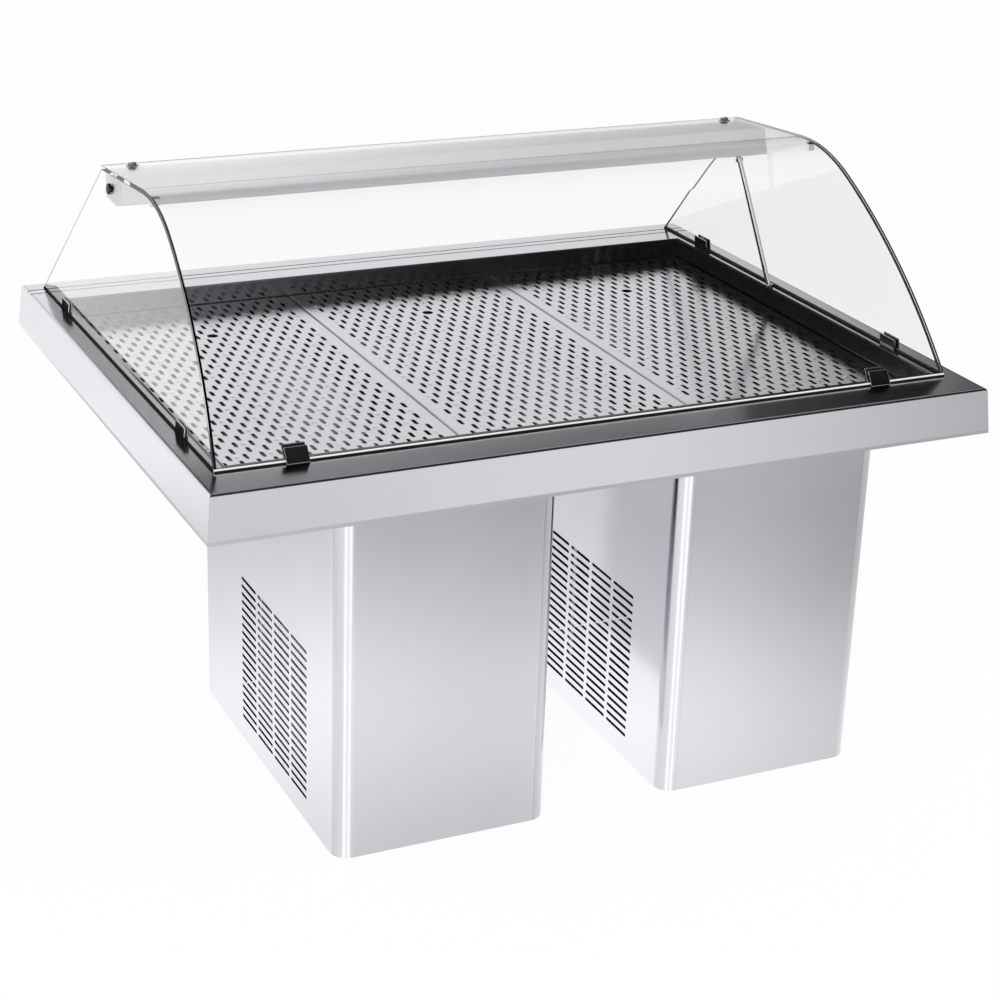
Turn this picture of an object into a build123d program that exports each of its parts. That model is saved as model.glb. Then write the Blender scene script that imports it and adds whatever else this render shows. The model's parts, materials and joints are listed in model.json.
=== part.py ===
# Refrigerated fish counter: shallow well under bent glass, on two louvred pedestals.
# Millimetres, +Z up, +Y to the staff side, origin on the floor under the middle of the rim.
import os
from math import atan2, cos, degrees, radians, sin, tan

from build123d import *

os.makedirs("parts", exist_ok=True)

# Counter top
counter_width = 1500
counter_depth = 1200
rim_height = 730
skirt_height = 86
skirt_flare = 8
rim_sheet = 2
fold_radius = 7
fold_return = 9
groove_width = 4
groove_depth = 1.2
groove_places = (532, 555)

# Well under the rim
well_width = 1372
well_front = -488
well_back = 470
well_lip = 12
tub_sheet = 1.5
tub_gap = 2.5
ledge_drop = 53.5
ledge_width = 26
tub_drop = 78
foam_wall = 22
coil_space = 10.5
pan_drop = 118
pan_sheet = 1.2

# Lift-out trays
tray_count = 3
tray_width = 456
tray_gap = 1.5
tray_length = 956
tray_drop = 38
tray_edge = 15
tray_sheet = 1.5
tray_fold = 2.5
tray_slot_length = 50
tray_slot_width = 10
tray_slot_columns = 5
tray_slot_rows = 6
tray_slot_pitch = (84, 145)
finger_hole = 22
finger_place = 270
bearer_width = 30

# Cold coil and drain
coil_tube = 9.5
coil_bend = 25
coil_reach = 570
coil_runs = (-400, -150, 100, 350)
coil_return = 640
tail_foot = 560
tube_sides = 6
line_places = ((-440, -400), (-440, -330))
line_hole = 16
tail_pocket = 72
drain_place = (300, -240)
drain_hole = 41
drain_bore = 15
drain_flange = 34
drain_flange_height = 3
drain_tail = 20
valve_level = 520
valve_foot = 440
valve_body = 33
valve_body_height = 60
valve_spigot = 19
valve_socket = 24
stem_radius = 5
stem_boss = 9
stem_boss_reach = 52
stem_reach = 62
lever_hub = 13
lever_length = 90
lever_width = 16
lever_sheet = 5
running_gap = 0.05
bore_sides = 12

# Glass
front_glass_thickness = 8
side_glass_thickness = 6
glass_foot = 714
glass_lean = 6
glass_back_top = (233, 329)
strip_length = 250
strip_rise = 4.15
knee_radius = 300
knee_turn = 34
front_radius = 980
front_turn = 27.5
pane_back_foot = 565
pane_inset = 1
seal_height = 3
seal_overhang = 2
seal_gap = 0.1
fit_gap = 0.4
slot_gap = 0.3

# Clips and seal
clip_wall = 3
clip_height = 24
clip_bridge = 2.9
front_clip_width = 42
front_clip_x = 570
side_clip_length = 50
side_clip_places = (-335, 395)
knee_clip = 12
knee_clip_ahead = 50

# Lamp housing
canopy_half = 668
canopy_sheet = 1.5
canopy_points = ((214, 319.5), (214, 274), (150, 271), (98, 285), (111, 327))
canopy_mouth = (158, 78)
canopy_mouth_end = 60
canopy_bolt_x = 628
canopy_bolt_y = 203
cap_thickness = 3
cap_hole = (168, 299)
lens_sheet = 2
lens_rise = 292
lens_end = 50
lamp_place = (158, 306)
lamp_radius = 13
lamp_half = 590
holder_length = 18
bolt_shaft = 3
bolt_sides = 8
bolt_hole = 4
bolt_washer = 12
bolt_washer_height = 2
bolt_head = 8
bolt_head_height = 5
bolt_edge = 2
bolt_length = 20
bolt_way = 30
bolt_spacer = 7
spacer_height = 2.6
nut_radius = 6
nut_height = 4
end_bolt = (168, 302)
end_bolt_head = 10
end_bolt_height = 6
end_bolt_length = 22
end_bolt_spacer = 3.4
conduit_radius = 5
conduit_gap = 0.3
conduit_foot_place = (696, 92)
conduit_head_place = (640, 165, 278)
ferrule_wall = 4
ferrule_head_wall = 3
ferrule_height = 6
ferrule_head_height = 8
ferrule_drop = 22

# Pedestals
pedestal_inner = 118
pedestal_outer = 527
pedestal_front = -588
pedestal_back = 112
pedestal_radius = 32
pedestal_sheet = 1.5
pad_height = 4
pad_radius = 22
pad_inset = 45
pad_sides = 8
shell_top = 650
shell_return = 22
louvre_columns = 4
louvre_rows = 19
louvre_length = 78
louvre_gap = 11
louvre_height = 5.5
louvre_pitch = 16
louvre_front = -441
louvre_foot = 52
base_thickness = 3
hose_hole = 50
head_thickness = 3
head_length = 590
head_bolt_pitch = (300, 480)
head_bolt_radius = 8
head_bolt_height = 6
post_width = 25
post_sheet = 2
post_front = -545
post_back = 85
strip_place = -200
strip_width = 12
strip_foot = 108
panel_margin = 6
panel_corner = 6
grip_size = (110, 26)
grip_drop = 60
panel_lip = 12
panel_lip_drop = 80

# Condensing unit
unit_size = (376, 530)
unit_y = -205
unit_sheet = 2
unit_edge = 20
fan_y = -270
fan_z = 190
fan_radius = 112
fan_gap = 6
shroud_sides = 32
blade_count = 5
blade_sheet = 2
blade_width = 62
blade_pitch = 28
hub_radius = 26
hub_depth = 24
shaft_radius = 5
shaft_end = 6
shroud_depth = 30
condenser_x = -480
condenser_depth = 46
condenser_core = 36
condenser_length = 333
condenser_height = 310
condenser_lift = 18
fin_count = 9
fin_sheet = 1.2
condenser_plate = 3
plate_rise = 25
plate_lip = 4
condenser_return = (10, 42)
condenser_return_pitch = 64
condenser_return_reach = 8
motor_gap = 8
motor_radius = 42
drum_sides = 16
motor_length = 64
motor_edge = 6
motor_bracket = (40, 60)
bracket_sheet = 3
compressor_place = (-235, -190)
mount_height = 14
mount_radius = 11
mount_pitch = 116
can_plate = 150
can_foot_radius = 60
can_radius = 74
can_waist = 16
can_shoulder = 150
can_crown = 176
can_top_slope = 60
can_top = 188
receiver_radius = 38
receiver_half = 85
receiver_edge = 14
receiver_level = 62
receiver_y = 5
receiver_foot = (16, 50)
receiver_foot_pitch = 100
pipe_level = 410
liquid_rise = 40
liquid_x = -165
pipe_bend = 24

# Controls
box_x = 270
box_front = 400
box_back = 486
box_foot = 536
box_width = 190
box_corner = 6
rocker_offsets = (-62, -22)
rocker_width = 16
rocker_height = 24
rocker_back = 9
rocker_lean = 2.5
rocker_gap = 2
dial_offset = 44
dial_radius = 20
dial_sides = 18
dial_depth = 14
dial_gap = 1
dial_grip = (6, 34)
dial_grip_height = 5
dial_pin = 3.95
dial_hole = 4
dial_mark = (7, 1.6)
dial_mark_radius = 27
dial_mark_count = 9
dial_mark_arc = 300
control_z = 574
control_pocket = 14
gland_offset = 60
gland_nut = 14
gland_nut_height = 8
gland_neck = 10
gland_bore = 5
gland_sides = 12
gland_neck_height = 12

well_length = well_back - well_front
well_middle = (well_back + well_front) / 2
rim_under = rim_height - rim_sheet
skirt_foot = rim_height - skirt_height
ledge_height = rim_height - ledge_drop
tub_floor = rim_height - tub_drop
tub_under = tub_floor - tub_sheet
tub_width = well_width + 2 * tub_gap
tub_length = well_length + 2 * tub_gap
tub_narrow = 2 * (tub_sheet - ledge_width)
foam_width = tub_width + 2 * (tub_sheet + foam_wall)
foam_length = tub_length + 2 * (tub_sheet + foam_wall)
pan_foot = rim_height - pan_drop
pan_front = well_middle - foam_length / 2 - pan_sheet
tray_top = rim_height - tray_drop
tray_pitch = tray_width + tray_gap
pedestal_middle = (pedestal_inner + pedestal_outer) / 2
pedestal_width = pedestal_outer - pedestal_inner
pedestal_length = pedestal_back - pedestal_front
pedestal_centre = (pedestal_front + pedestal_back) / 2
base_top = pad_height + base_thickness
head_foot = pan_foot - head_thickness


def write(builder, name):
    builder.part.label = name
    export_step(builder.part, f"parts/{name}.step")


# One side of the skirt, facing out along outward: folded sheet with a mitre at both ends
def skirt_side(outward, reach, half_length):
    along = outward.cross(Vector(0, 0, 1))
    side_plane = Plane(origin=(0, 0, 0), x_dir=outward, z_dir=along)
    half_sheet = rim_sheet / 2
    with BuildPart() as bar:
        with BuildSketch(side_plane):
            with BuildLine():
                FilletPolyline(
                    (reach - fold_return, skirt_foot + half_sheet),
                    (reach + skirt_flare - half_sheet, skirt_foot + half_sheet),
                    (reach - half_sheet, rim_height - half_sheet),
                    (reach - skirt_height, rim_height - half_sheet),
                    radius=fold_radius - half_sheet,
                )
            trace(line_width=rim_sheet)
        extrude(amount=half_length + skirt_height, both=True)
        for end in (along, -along):
            mitre = Plane(origin=outward * reach + end * half_length, z_dir=end - outward)
            split(bisect_by=mitre, keep=Keep.BOTTOM)
    return bar.part


# Rim and skirt: four folded sides, a top sheet between them and the well cut through it
skirt_sides = []
for end in (-1, 1):
    skirt_sides.append(skirt_side(Vector(end, 0, 0), counter_width / 2, counter_depth / 2))
    skirt_sides.append(skirt_side(Vector(0, end, 0), counter_depth / 2, counter_width / 2))
with BuildPart() as top_frame:
    add(skirt_sides)
    with BuildSketch(Plane.XY.offset(rim_under)):
        Rectangle(counter_width - 4 * fold_radius, counter_depth - 4 * fold_radius)
    extrude(amount=rim_sheet)
    with BuildSketch(Plane.XY.offset(rim_under)):
        with Locations((0, well_middle)):
            Rectangle(well_width + 2 * rim_sheet, well_length + 2 * rim_sheet)
    extrude(amount=-well_lip)
    with BuildSketch(Plane.XY.offset(rim_height)):
        with Locations((0, well_middle)):
            Rectangle(well_width, well_length)
    extrude(amount=-2 * well_lip, mode=Mode.SUBTRACT)
    with BuildSketch(Plane.XY.offset(rim_height)):
        with Locations(*[(0, place) for place in groove_places]):
            Rectangle(counter_width, groove_width)
    extrude(amount=-groove_depth, mode=Mode.SUBTRACT)
write(top_frame, "top_frame")

# Tub hung under the rim: an upper wall, a ledge for the trays and a lower drip floor
with BuildPart() as well_tub:
    with BuildSketch(Plane.XY.offset(ledge_height - tub_sheet)):
        with Locations((0, well_middle)):
            Rectangle(tub_width + 2 * tub_sheet, tub_length + 2 * tub_sheet)
    extrude(amount=rim_under - ledge_height + tub_sheet)
    with BuildSketch(Plane.XY.offset(tub_under)):
        with Locations((0, well_middle)):
            Rectangle(tub_width + tub_narrow, tub_length + tub_narrow)
    extrude(amount=ledge_height - tub_under)
    with BuildSketch(Plane.XY.offset(ledge_height)):
        with Locations((0, well_middle)):
            Rectangle(tub_width, tub_length)
    extrude(amount=ledge_drop, mode=Mode.SUBTRACT)
    with BuildSketch(Plane.XY.offset(tub_floor)):
        with Locations((0, well_middle)):
            Rectangle(tub_width - 2 * ledge_width, tub_length - 2 * ledge_width)
    extrude(amount=ledge_drop, mode=Mode.SUBTRACT)
    with BuildSketch(Plane.XY.offset(tub_under)):
        with Locations(drain_place):
            RegularPolygon(drain_hole / 2, bore_sides)
    extrude(amount=3 * tub_sheet, mode=Mode.SUBTRACT)
write(well_tub, "well_tub")

# Foam round the tub, with a shallow space above it for the cold coil
with BuildPart() as tub_insulation:
    with BuildSketch(Plane.XY.offset(pan_foot + pan_sheet)):
        with Locations((0, well_middle)):
            Rectangle(foam_width, foam_length)
    extrude(amount=rim_under - pan_foot - pan_sheet)
    with BuildSketch(Plane.XY.offset(ledge_height - tub_sheet)):
        with Locations((0, well_middle)):
            Rectangle(tub_width + 2 * tub_sheet, tub_length + 2 * tub_sheet)
    extrude(amount=ledge_drop + 2 * tub_sheet, mode=Mode.SUBTRACT)
    with BuildSketch(Plane.XY.offset(tub_under - coil_space)):
        with Locations((0, well_middle)):
            Rectangle(tub_width + tub_narrow, tub_length + tub_narrow)
    extrude(amount=ledge_drop, mode=Mode.SUBTRACT)
    with BuildSketch(Plane.XY.offset(pan_foot)):
        with Locations(drain_place):
            RegularPolygon(drain_hole / 2, bore_sides)
        with Locations(*line_places):
            RegularPolygon(tail_pocket / 2, bore_sides)
    extrude(amount=pan_drop, mode=Mode.SUBTRACT)
write(tub_insulation, "tub_insulation")

with BuildPart() as underside_pan:
    with BuildSketch(Plane.XY.offset(pan_foot)):
        with Locations((0, well_middle)):
            Rectangle(foam_width + 2 * pan_sheet, foam_length + 2 * pan_sheet)
    extrude(amount=rim_under - pan_foot)
    with BuildSketch(Plane.XY.offset(pan_foot + pan_sheet)):
        with Locations((0, well_middle)):
            Rectangle(foam_width, foam_length)
    extrude(amount=pan_drop, mode=Mode.SUBTRACT)
    with BuildSketch(Plane.XY.offset(pan_foot)):
        with Locations(drain_place):
            RegularPolygon(drain_hole / 2, bore_sides)
        with Locations(*line_places):
            RegularPolygon(line_hole / 2, bore_sides)
    extrude(amount=2 * pan_sheet, mode=Mode.SUBTRACT)
write(underside_pan, "underside_pan")

# A route with each corner cut across, for a tube in mitred lengths
def cut_corners(route, cut):
    points = [Vector(*point) for point in route]
    cut_route = [points[0]]
    for before, corner, after in zip(points, points[1:], points[2:]):
        cut_route.append(corner + (before - corner).normalized() * cut)
        cut_route.append(corner + (after - corner).normalized() * cut)
    return cut_route + [points[-1]]


# Cold coil under the tub floor: straight runs joined by bends, both tails down the left pedestal
coil_level = tub_under - coil_tube / 2 - slot_gap
(feed_x, feed_y), (draw_x, draw_y) = line_places
coil_route = [(feed_x, feed_y, tail_foot), (feed_x, feed_y, coil_level)]
for run, run_y in enumerate(coil_runs):
    side = 1 if run % 2 == 0 else -1
    if run > 0:
        coil_route.append((-side * coil_reach, run_y, coil_level))
    if run < len(coil_runs) - 1:
        coil_route.append((side * coil_reach, run_y, coil_level))
coil_route += [(-coil_return, coil_runs[-1], coil_level), (-coil_return, draw_y, coil_level)]
coil_route += [(draw_x, draw_y, coil_level), (draw_x, draw_y, tail_foot)]
with BuildPart() as evaporator_coil:
    with BuildLine() as coil_path:
        Polyline(*cut_corners(coil_route, coil_bend))
    with BuildSketch(Plane(origin=coil_path.line @ 0, z_dir=coil_path.line % 0)):
        RegularPolygon(coil_tube / 2, tube_sides)
    sweep(path=coil_path.line, transition=Transition.RIGHT)
write(evaporator_coil, "evaporator_coil")

# Channels under the two tray joints
bearer_places = [(side * tray_pitch / 2, well_middle) for side in (-1, 1)]
with BuildPart() as tray_bearers:
    with BuildSketch(Plane.XY.offset(tub_floor)):
        with Locations(*bearer_places):
            Rectangle(bearer_width, tub_length - 2 * ledge_width - tray_sheet)
    extrude(amount=ledge_height - tub_floor)
    with BuildSketch(Plane.XY.offset(tub_floor)):
        with Locations(*bearer_places):
            Rectangle(bearer_width - 2 * tub_sheet, tub_length)
    extrude(amount=ledge_height - tub_floor - tub_sheet, mode=Mode.SUBTRACT)
write(tray_bearers, "tray_bearers")

# Three trays with turned-down edges, staggered rows of slots and a finger hole near the staff side
slot_pitch_x, slot_pitch_y = tray_slot_pitch
for number, name in enumerate(("tray_left", "tray_centre", "tray_right")):
    tray_x = (number - (tray_count - 1) / 2) * tray_pitch
    with BuildPart() as tray:
        with BuildSketch(Plane.XY.offset(tray_top)):
            with Locations((tray_x, well_middle)):
                Rectangle(tray_width, tray_length)
        extrude(amount=-tray_edge)
        chamfer(tray.faces().sort_by(Axis.Z)[-1].edges(), tray_fold)
        with BuildSketch(Plane.XY.offset(tray_top - tray_sheet)):
            with Locations((tray_x, well_middle)):
                Rectangle(tray_width - 2 * tray_sheet, tray_length - 2 * tray_sheet)
        extrude(amount=-tray_edge, mode=Mode.SUBTRACT)
        with BuildSketch(Plane.XY.offset(tray_top)):
            for row in range(tray_slot_rows):
                row_y = well_middle + (row - (tray_slot_rows - 1) / 2) * slot_pitch_y
                with Locations((tray_x, row_y)):
                    with GridLocations(slot_pitch_x, 1, tray_slot_columns - row % 2, 1):
                        Rectangle(tray_slot_width, tray_slot_length)
            with Locations((tray_x, finger_place)):
                RegularPolygon(finger_hole / 2, bore_sides)
        extrude(amount=-2 * tray_sheet, mode=Mode.SUBTRACT)
    write(tray, name)

# Drain: flanged tail through the tub, ball valve and lever in the right pedestal
drain_x, drain_y = drain_place
with BuildPart() as drain_fitting:
    with BuildSketch(Plane.XY.offset(tail_foot)):
        with Locations(drain_place):
            RegularPolygon(drain_tail, bore_sides)
    extrude(amount=tub_floor - tail_foot)
    with BuildSketch(Plane.XY.offset(tub_floor)):
        with Locations(drain_place):
            RegularPolygon(drain_flange, bore_sides)
    extrude(amount=drain_flange_height)
    with BuildSketch(Plane.XY.offset(tail_foot)):
        with Locations(drain_place):
            RegularPolygon(drain_bore, bore_sides)
    extrude(amount=rim_height - tail_foot, mode=Mode.SUBTRACT)
write(drain_fitting, "drain_fitting")

stem_plane = Plane.XZ.offset(-drain_y)
with BuildPart() as drain_valve:
    with BuildSketch(Plane.XY.offset(valve_foot)):
        with Locations(drain_place):
            Circle(valve_spigot)
    extrude(amount=valve_level - valve_foot)
    with BuildSketch(Plane.XY.offset(valve_level - valve_body_height / 2)):
        with Locations(drain_place):
            RegularPolygon(valve_body, 6)
    extrude(amount=valve_body_height)
    with BuildSketch(Plane.XY.offset(valve_level)):
        with Locations(drain_place):
            RegularPolygon(valve_socket, bore_sides)
    extrude(amount=tail_foot - valve_level)
    with BuildSketch(stem_plane):
        with Locations((drain_x, valve_level)):
            RegularPolygon(stem_boss, bolt_sides)
    extrude(amount=-stem_boss_reach)
    with BuildSketch(stem_plane):
        with Locations((drain_x, valve_level)):
            Circle(stem_radius)
    extrude(amount=-stem_reach)
    with BuildSketch(Plane.XY.offset(valve_foot)):
        with Locations(drain_place):
            RegularPolygon(drain_bore, bore_sides)
    extrude(amount=tail_foot - valve_foot, mode=Mode.SUBTRACT)
write(drain_valve, "drain_valve")

lever_face = drain_y + stem_boss_reach + fit_gap
lever_reach = lever_length - lever_width / 2
with BuildPart() as drain_valve_lever:
    with BuildSketch(Plane.XZ.offset(-lever_face)):
        with Locations((drain_x, valve_level)):
            RegularPolygon(lever_hub, bore_sides)
            Rectangle(lever_width, lever_reach, align=(Align.CENTER, Align.MAX))
        with Locations((drain_x, valve_level - lever_reach)):
            RegularPolygon(lever_width / 2, bore_sides)
        with Locations((drain_x, valve_level)):
            Circle(stem_radius + running_gap, mode=Mode.SUBTRACT)
    extrude(amount=-lever_sheet)
write(drain_valve_lever, "drain_valve_lever")

# Bent glass: a rising top strip, a knee and a long front arc, drawn from the rim up
glass_plane = Plane(origin=(0, 0, rim_height), x_dir=(0, 1, 0), z_dir=(1, 0, 0))
rise = radians(strip_rise)
lean = radians(glass_lean)
back_y, back_z = glass_back_top


# The glass line moved inwards by inset, as edges of the open line block
def glass_line(inset):
    start = Vector(back_y - sin(rise) * inset, back_z - cos(rise) * inset)
    strip = Line(start, start + Vector(-cos(rise), sin(rise)) * strip_length)
    knee = JernArc(strip @ 1, strip % 1, knee_radius - inset, knee_turn)
    front = JernArc(knee @ 1, knee % 1, front_radius - inset, front_turn)
    return strip @ 0, front @ 1


# A bent sheet between two insets of the glass line
def bent_sheet(outer, inner):
    with BuildPart() as sheet:
        with BuildSketch(glass_plane):
            with BuildLine():
                outer_back, outer_foot = glass_line(outer)
                inner_back, inner_foot = glass_line(inner)
                Line(outer_back, inner_back)
                Line(outer_foot, inner_foot)
            make_face()
        extrude(amount=counter_width / 2, both=True)
    return sheet.part


# Plane of the right pane at a depth behind its outer face, X towards the staff side, Y up the pane
def pane_plane(depth):
    foot = (glass_foot - depth * cos(lean), 0, rim_height - depth * sin(lean))
    return Plane(origin=foot, x_dir=(0, 1, 0), z_dir=(cos(lean), 0, sin(lean)))


# Plane on top of the glass at one of the two bolts
def bolt_plane(side):
    bolt_z = rim_height + back_z + (back_y - canopy_bolt_y) * tan(rise)
    place = (side * canopy_bolt_x, canopy_bolt_y, bolt_z)
    return Plane(origin=place, x_dir=(1, 0, 0), z_dir=(0, sin(rise), cos(rise)))


seal_top = Plane.XY.offset(rim_height + seal_height)
front_sheet = bent_sheet(0, front_glass_thickness)
with BuildPart() as front_glass:
    add(front_sheet)
    for side in (-1, 1):
        end_face = Plane(origin=(side * glass_foot, 0, rim_height), z_dir=(side * cos(lean), 0, sin(lean)))
        split(bisect_by=end_face, keep=Keep.BOTTOM)
    split(bisect_by=seal_top, keep=Keep.TOP)
    for side in (-1, 1):
        with BuildSketch(bolt_plane(side)):
            RegularPolygon(bolt_hole, bolt_sides)
        extrude(amount=-2 * front_glass_thickness, mode=Mode.SUBTRACT)
write(front_glass, "front_glass")
glass_foot_box = front_glass.faces().sort_by(Axis.Z)[0].bounding_box()

# Side panes lean in and follow the inside of the bent sheet
with BuildPart() as side_glass_right:
    with BuildSketch(pane_plane(pane_inset)):
        with BuildLine():
            pane_back, pane_front = glass_line(front_glass_thickness + fit_gap)
            slope = (pane_back_foot - pane_back.X) / (pane_back.Y - seal_height)
            pane_heel = (pane_back_foot + slope * (seal_height - pane_front.Y), pane_front.Y)
            Line(pane_front, pane_heel)
            Line(pane_heel, pane_back)
        make_face()
        with Locations(end_bolt):
            RegularPolygon(bolt_hole, bolt_sides, mode=Mode.SUBTRACT)
    extrude(amount=-side_glass_thickness)
    split(bisect_by=seal_top, keep=Keep.TOP)
write(side_glass_right, "side_glass_right")

with BuildPart() as side_glass_left:
    mirror(side_glass_right.part, about=Plane.YZ)
write(side_glass_left, "side_glass_left")

# Polished clips that hold the panes at the rim, slotted to the glass
slot_floor = Plane.XY.offset(rim_height + clip_bridge)
clip_band = bent_sheet(-clip_wall, front_glass_thickness + clip_wall)
slot_band = bent_sheet(-slot_gap, front_glass_thickness + slot_gap)
with BuildPart() as front_slot:
    add(slot_band)
    split(bisect_by=slot_floor, keep=Keep.TOP)

with BuildPart() as front_glass_clips:
    add(clip_band)
    with BuildSketch(Plane.XY.offset(rim_height)):
        with Locations((0, glass_foot_box.center().Y)):
            with GridLocations(2 * front_clip_x, 1, 2, 1):
                Rectangle(front_clip_width, 8 * clip_height)
    extrude(amount=clip_height, mode=Mode.INTERSECT)
    add(front_slot.part, mode=Mode.SUBTRACT)
write(front_glass_clips, "front_glass_clips")

side_clip_depth = side_glass_thickness + 2 * (clip_wall + slot_gap)
with BuildPart() as side_slot:
    with BuildSketch(pane_plane(pane_inset - slot_gap)):
        Rectangle(counter_depth, 4 * clip_height)
    extrude(amount=-side_glass_thickness - 2 * slot_gap)
    split(bisect_by=slot_floor, keep=Keep.TOP)

with BuildPart() as right_glass_clips:
    with BuildSketch(pane_plane(pane_inset - slot_gap - clip_wall)):
        with Locations(*[(place, 0) for place in side_clip_places]):
            Rectangle(side_clip_length, 2 * clip_height)
    extrude(amount=-side_clip_depth)
    split(bisect_by=Plane.XY.offset(rim_height), keep=Keep.TOP)
    add(side_slot.part, mode=Mode.SUBTRACT)
write(right_glass_clips, "right_glass_clips")

with BuildPart() as left_glass_clips:
    mirror(right_glass_clips.part, about=Plane.YZ)
write(left_glass_clips, "left_glass_clips")

# Seal under the panes, left out where the clips stand
side_seal_width = side_glass_thickness + seal_overhang
side_seal_length = pane_back_foot - glass_foot_box.max.Y
with BuildPart() as glass_seal:
    with BuildSketch(Plane.XY.offset(rim_height)):
        with Locations((0, glass_foot_box.center().Y)):
            Rectangle(2 * glass_foot - seal_overhang, glass_foot_box.size.Y + seal_overhang)
        with Locations((0, pane_back_foot - side_seal_length / 2)):
            with GridLocations(2 * glass_foot - side_seal_width, 1, 2, 1):
                Rectangle(side_seal_width, side_seal_length)
        with Locations((0, glass_foot_box.center().Y)):
            with GridLocations(2 * front_clip_x, 1, 2, 1):
                Rectangle(front_clip_width + 2 * fit_gap, 4 * clip_height, mode=Mode.SUBTRACT)
        with Locations(*[(0, place) for place in side_clip_places]):
            Rectangle(counter_width, side_clip_length + 2 * fit_gap, mode=Mode.SUBTRACT)
    extrude(amount=seal_height - seal_gap)
write(glass_seal, "glass_seal")

# Small bright clips that tie the front pane to the side panes at the knee
clip_blank = bent_sheet(front_glass_thickness + slot_gap, front_glass_thickness + knee_clip)
knee_y = back_y - strip_length * cos(rise)
with BuildPart() as corner_clip:
    add(clip_blank)
    with BuildSketch(Plane.XY.offset(rim_height)):
        with Locations((glass_foot, knee_y - knee_clip_ahead)):
            Rectangle(glass_foot, knee_clip)
    extrude(amount=2 * back_z, mode=Mode.INTERSECT)
    split(bisect_by=pane_plane(pane_inset + side_glass_thickness + slot_gap), keep=Keep.BOTTOM)
    split(bisect_by=pane_plane(pane_inset + side_glass_thickness + knee_clip), keep=Keep.TOP)

with BuildPart() as corner_clips:
    add(corner_clip.part)
    mirror(corner_clip.part, about=Plane.YZ)
write(corner_clips, "corner_clips")

# Lamp housing of folded sheet under the back of the glass
conduit_foot = Vector(*conduit_foot_place, rim_height + conduit_gap)
conduit_head = Vector(*conduit_head_place) + Vector(0, 0, rim_height)
conduit_way = conduit_head - conduit_foot
conduit_plane = Plane(origin=conduit_foot, z_dir=conduit_way)
mouth_y, mouth_width = canopy_mouth
canopy_under = min(point[1] for point in canopy_points)
with BuildPart() as lamp_canopy:
    with BuildSketch(glass_plane):
        Polygon(*canopy_points, align=None)
        offset(amount=-canopy_sheet, mode=Mode.SUBTRACT)
    extrude(amount=canopy_half, both=True)
    with BuildSketch(Plane.XY.offset(rim_height + canopy_under - canopy_sheet)):
        with Locations((0, mouth_y)):
            Rectangle(2 * (canopy_half - canopy_mouth_end), mouth_width)
    extrude(amount=holder_length, mode=Mode.SUBTRACT)
    for side in (-1, 1):
        with BuildSketch(bolt_plane(side)):
            RegularPolygon(bolt_shaft + fit_gap, bolt_sides)
        extrude(amount=-bolt_way, mode=Mode.SUBTRACT)
    with BuildSketch(conduit_plane):
        RegularPolygon(conduit_radius + fit_gap, bolt_sides)
    extrude(amount=conduit_way.length + ferrule_wall, mode=Mode.SUBTRACT)
write(lamp_canopy, "lamp_canopy")

with BuildPart() as canopy_end_caps:
    for side in (-1, 1):
        with BuildSketch(glass_plane.offset(side * canopy_half)):
            Polygon(*canopy_points, align=None)
            with Locations(cap_hole):
                RegularPolygon(bolt_hole + fit_gap, bolt_sides, mode=Mode.SUBTRACT)
        extrude(amount=side * cap_thickness)
write(canopy_end_caps, "canopy_end_caps")

with BuildPart() as lamp_lens:
    with BuildSketch(glass_plane):
        Polygon(*canopy_points, align=None)
        offset(amount=-canopy_sheet - seal_gap, mode=Mode.REPLACE)
        offset(amount=-lens_sheet, mode=Mode.SUBTRACT)
        with Locations((mouth_y, lens_rise)):
            Rectangle(counter_depth, lens_rise, align=(Align.CENTER, Align.MAX), mode=Mode.INTERSECT)
    extrude(amount=canopy_half - lens_end, both=True)
write(lamp_lens, "lamp_lens")

with BuildPart() as lamp_tube:
    with BuildSketch(glass_plane):
        with Locations(lamp_place):
            RegularPolygon(lamp_radius, bore_sides)
    extrude(amount=lamp_half, both=True)
write(lamp_tube, "lamp_tube")

with BuildPart() as lamp_holders:
    for side in (-1, 1):
        with BuildSketch(glass_plane.offset(side * (lamp_half + fit_gap))):
            with Locations(lamp_place):
                RegularPolygon(lamp_radius, bore_sides)
        extrude(amount=side * holder_length)
write(lamp_holders, "lamp_holders")

# Bolts that hang the housing from the glass, on broad washers
nut_drop = front_glass_thickness + spacer_height + canopy_sheet + slot_gap
with BuildPart() as canopy_bolts:
    for side in (-1, 1):
        top_plane = bolt_plane(side)
        with BuildSketch(top_plane):
            RegularPolygon(bolt_washer, bolt_sides)
        extrude(amount=bolt_washer_height)
        with BuildSketch(top_plane.offset(bolt_washer_height)):
            RegularPolygon(bolt_head, bolt_sides)
        extrude(amount=bolt_head_height)
        chamfer(canopy_bolts.faces().sort_by(Axis.Z)[-1].edges(), bolt_edge)
        with BuildSketch(top_plane):
            RegularPolygon(bolt_shaft, bolt_sides)
        extrude(amount=-bolt_length)
        with BuildSketch(top_plane.offset(-front_glass_thickness - seal_gap)):
            RegularPolygon(bolt_spacer, bolt_sides)
        extrude(amount=-spacer_height)
        with BuildSketch(top_plane.offset(-nut_drop)):
            RegularPolygon(nut_radius, 6)
        extrude(amount=-nut_height)
write(canopy_bolts, "canopy_bolts")

with BuildPart() as end_bolt_right:
    with BuildSketch(pane_plane(pane_inset)):
        with Locations(end_bolt):
            RegularPolygon(end_bolt_head, bolt_sides)
    extrude(amount=end_bolt_height)
    chamfer(end_bolt_right.faces().sort_by(Axis.X)[-1].edges(), bolt_edge)
    with BuildSketch(pane_plane(pane_inset)):
        with Locations(end_bolt):
            RegularPolygon(bolt_shaft, bolt_sides)
    extrude(amount=-end_bolt_length)
    with BuildSketch(pane_plane(pane_inset + side_glass_thickness + seal_gap)):
        with Locations(end_bolt):
            RegularPolygon(bolt_spacer - pane_inset, bolt_sides)
    extrude(amount=-end_bolt_spacer)

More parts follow.
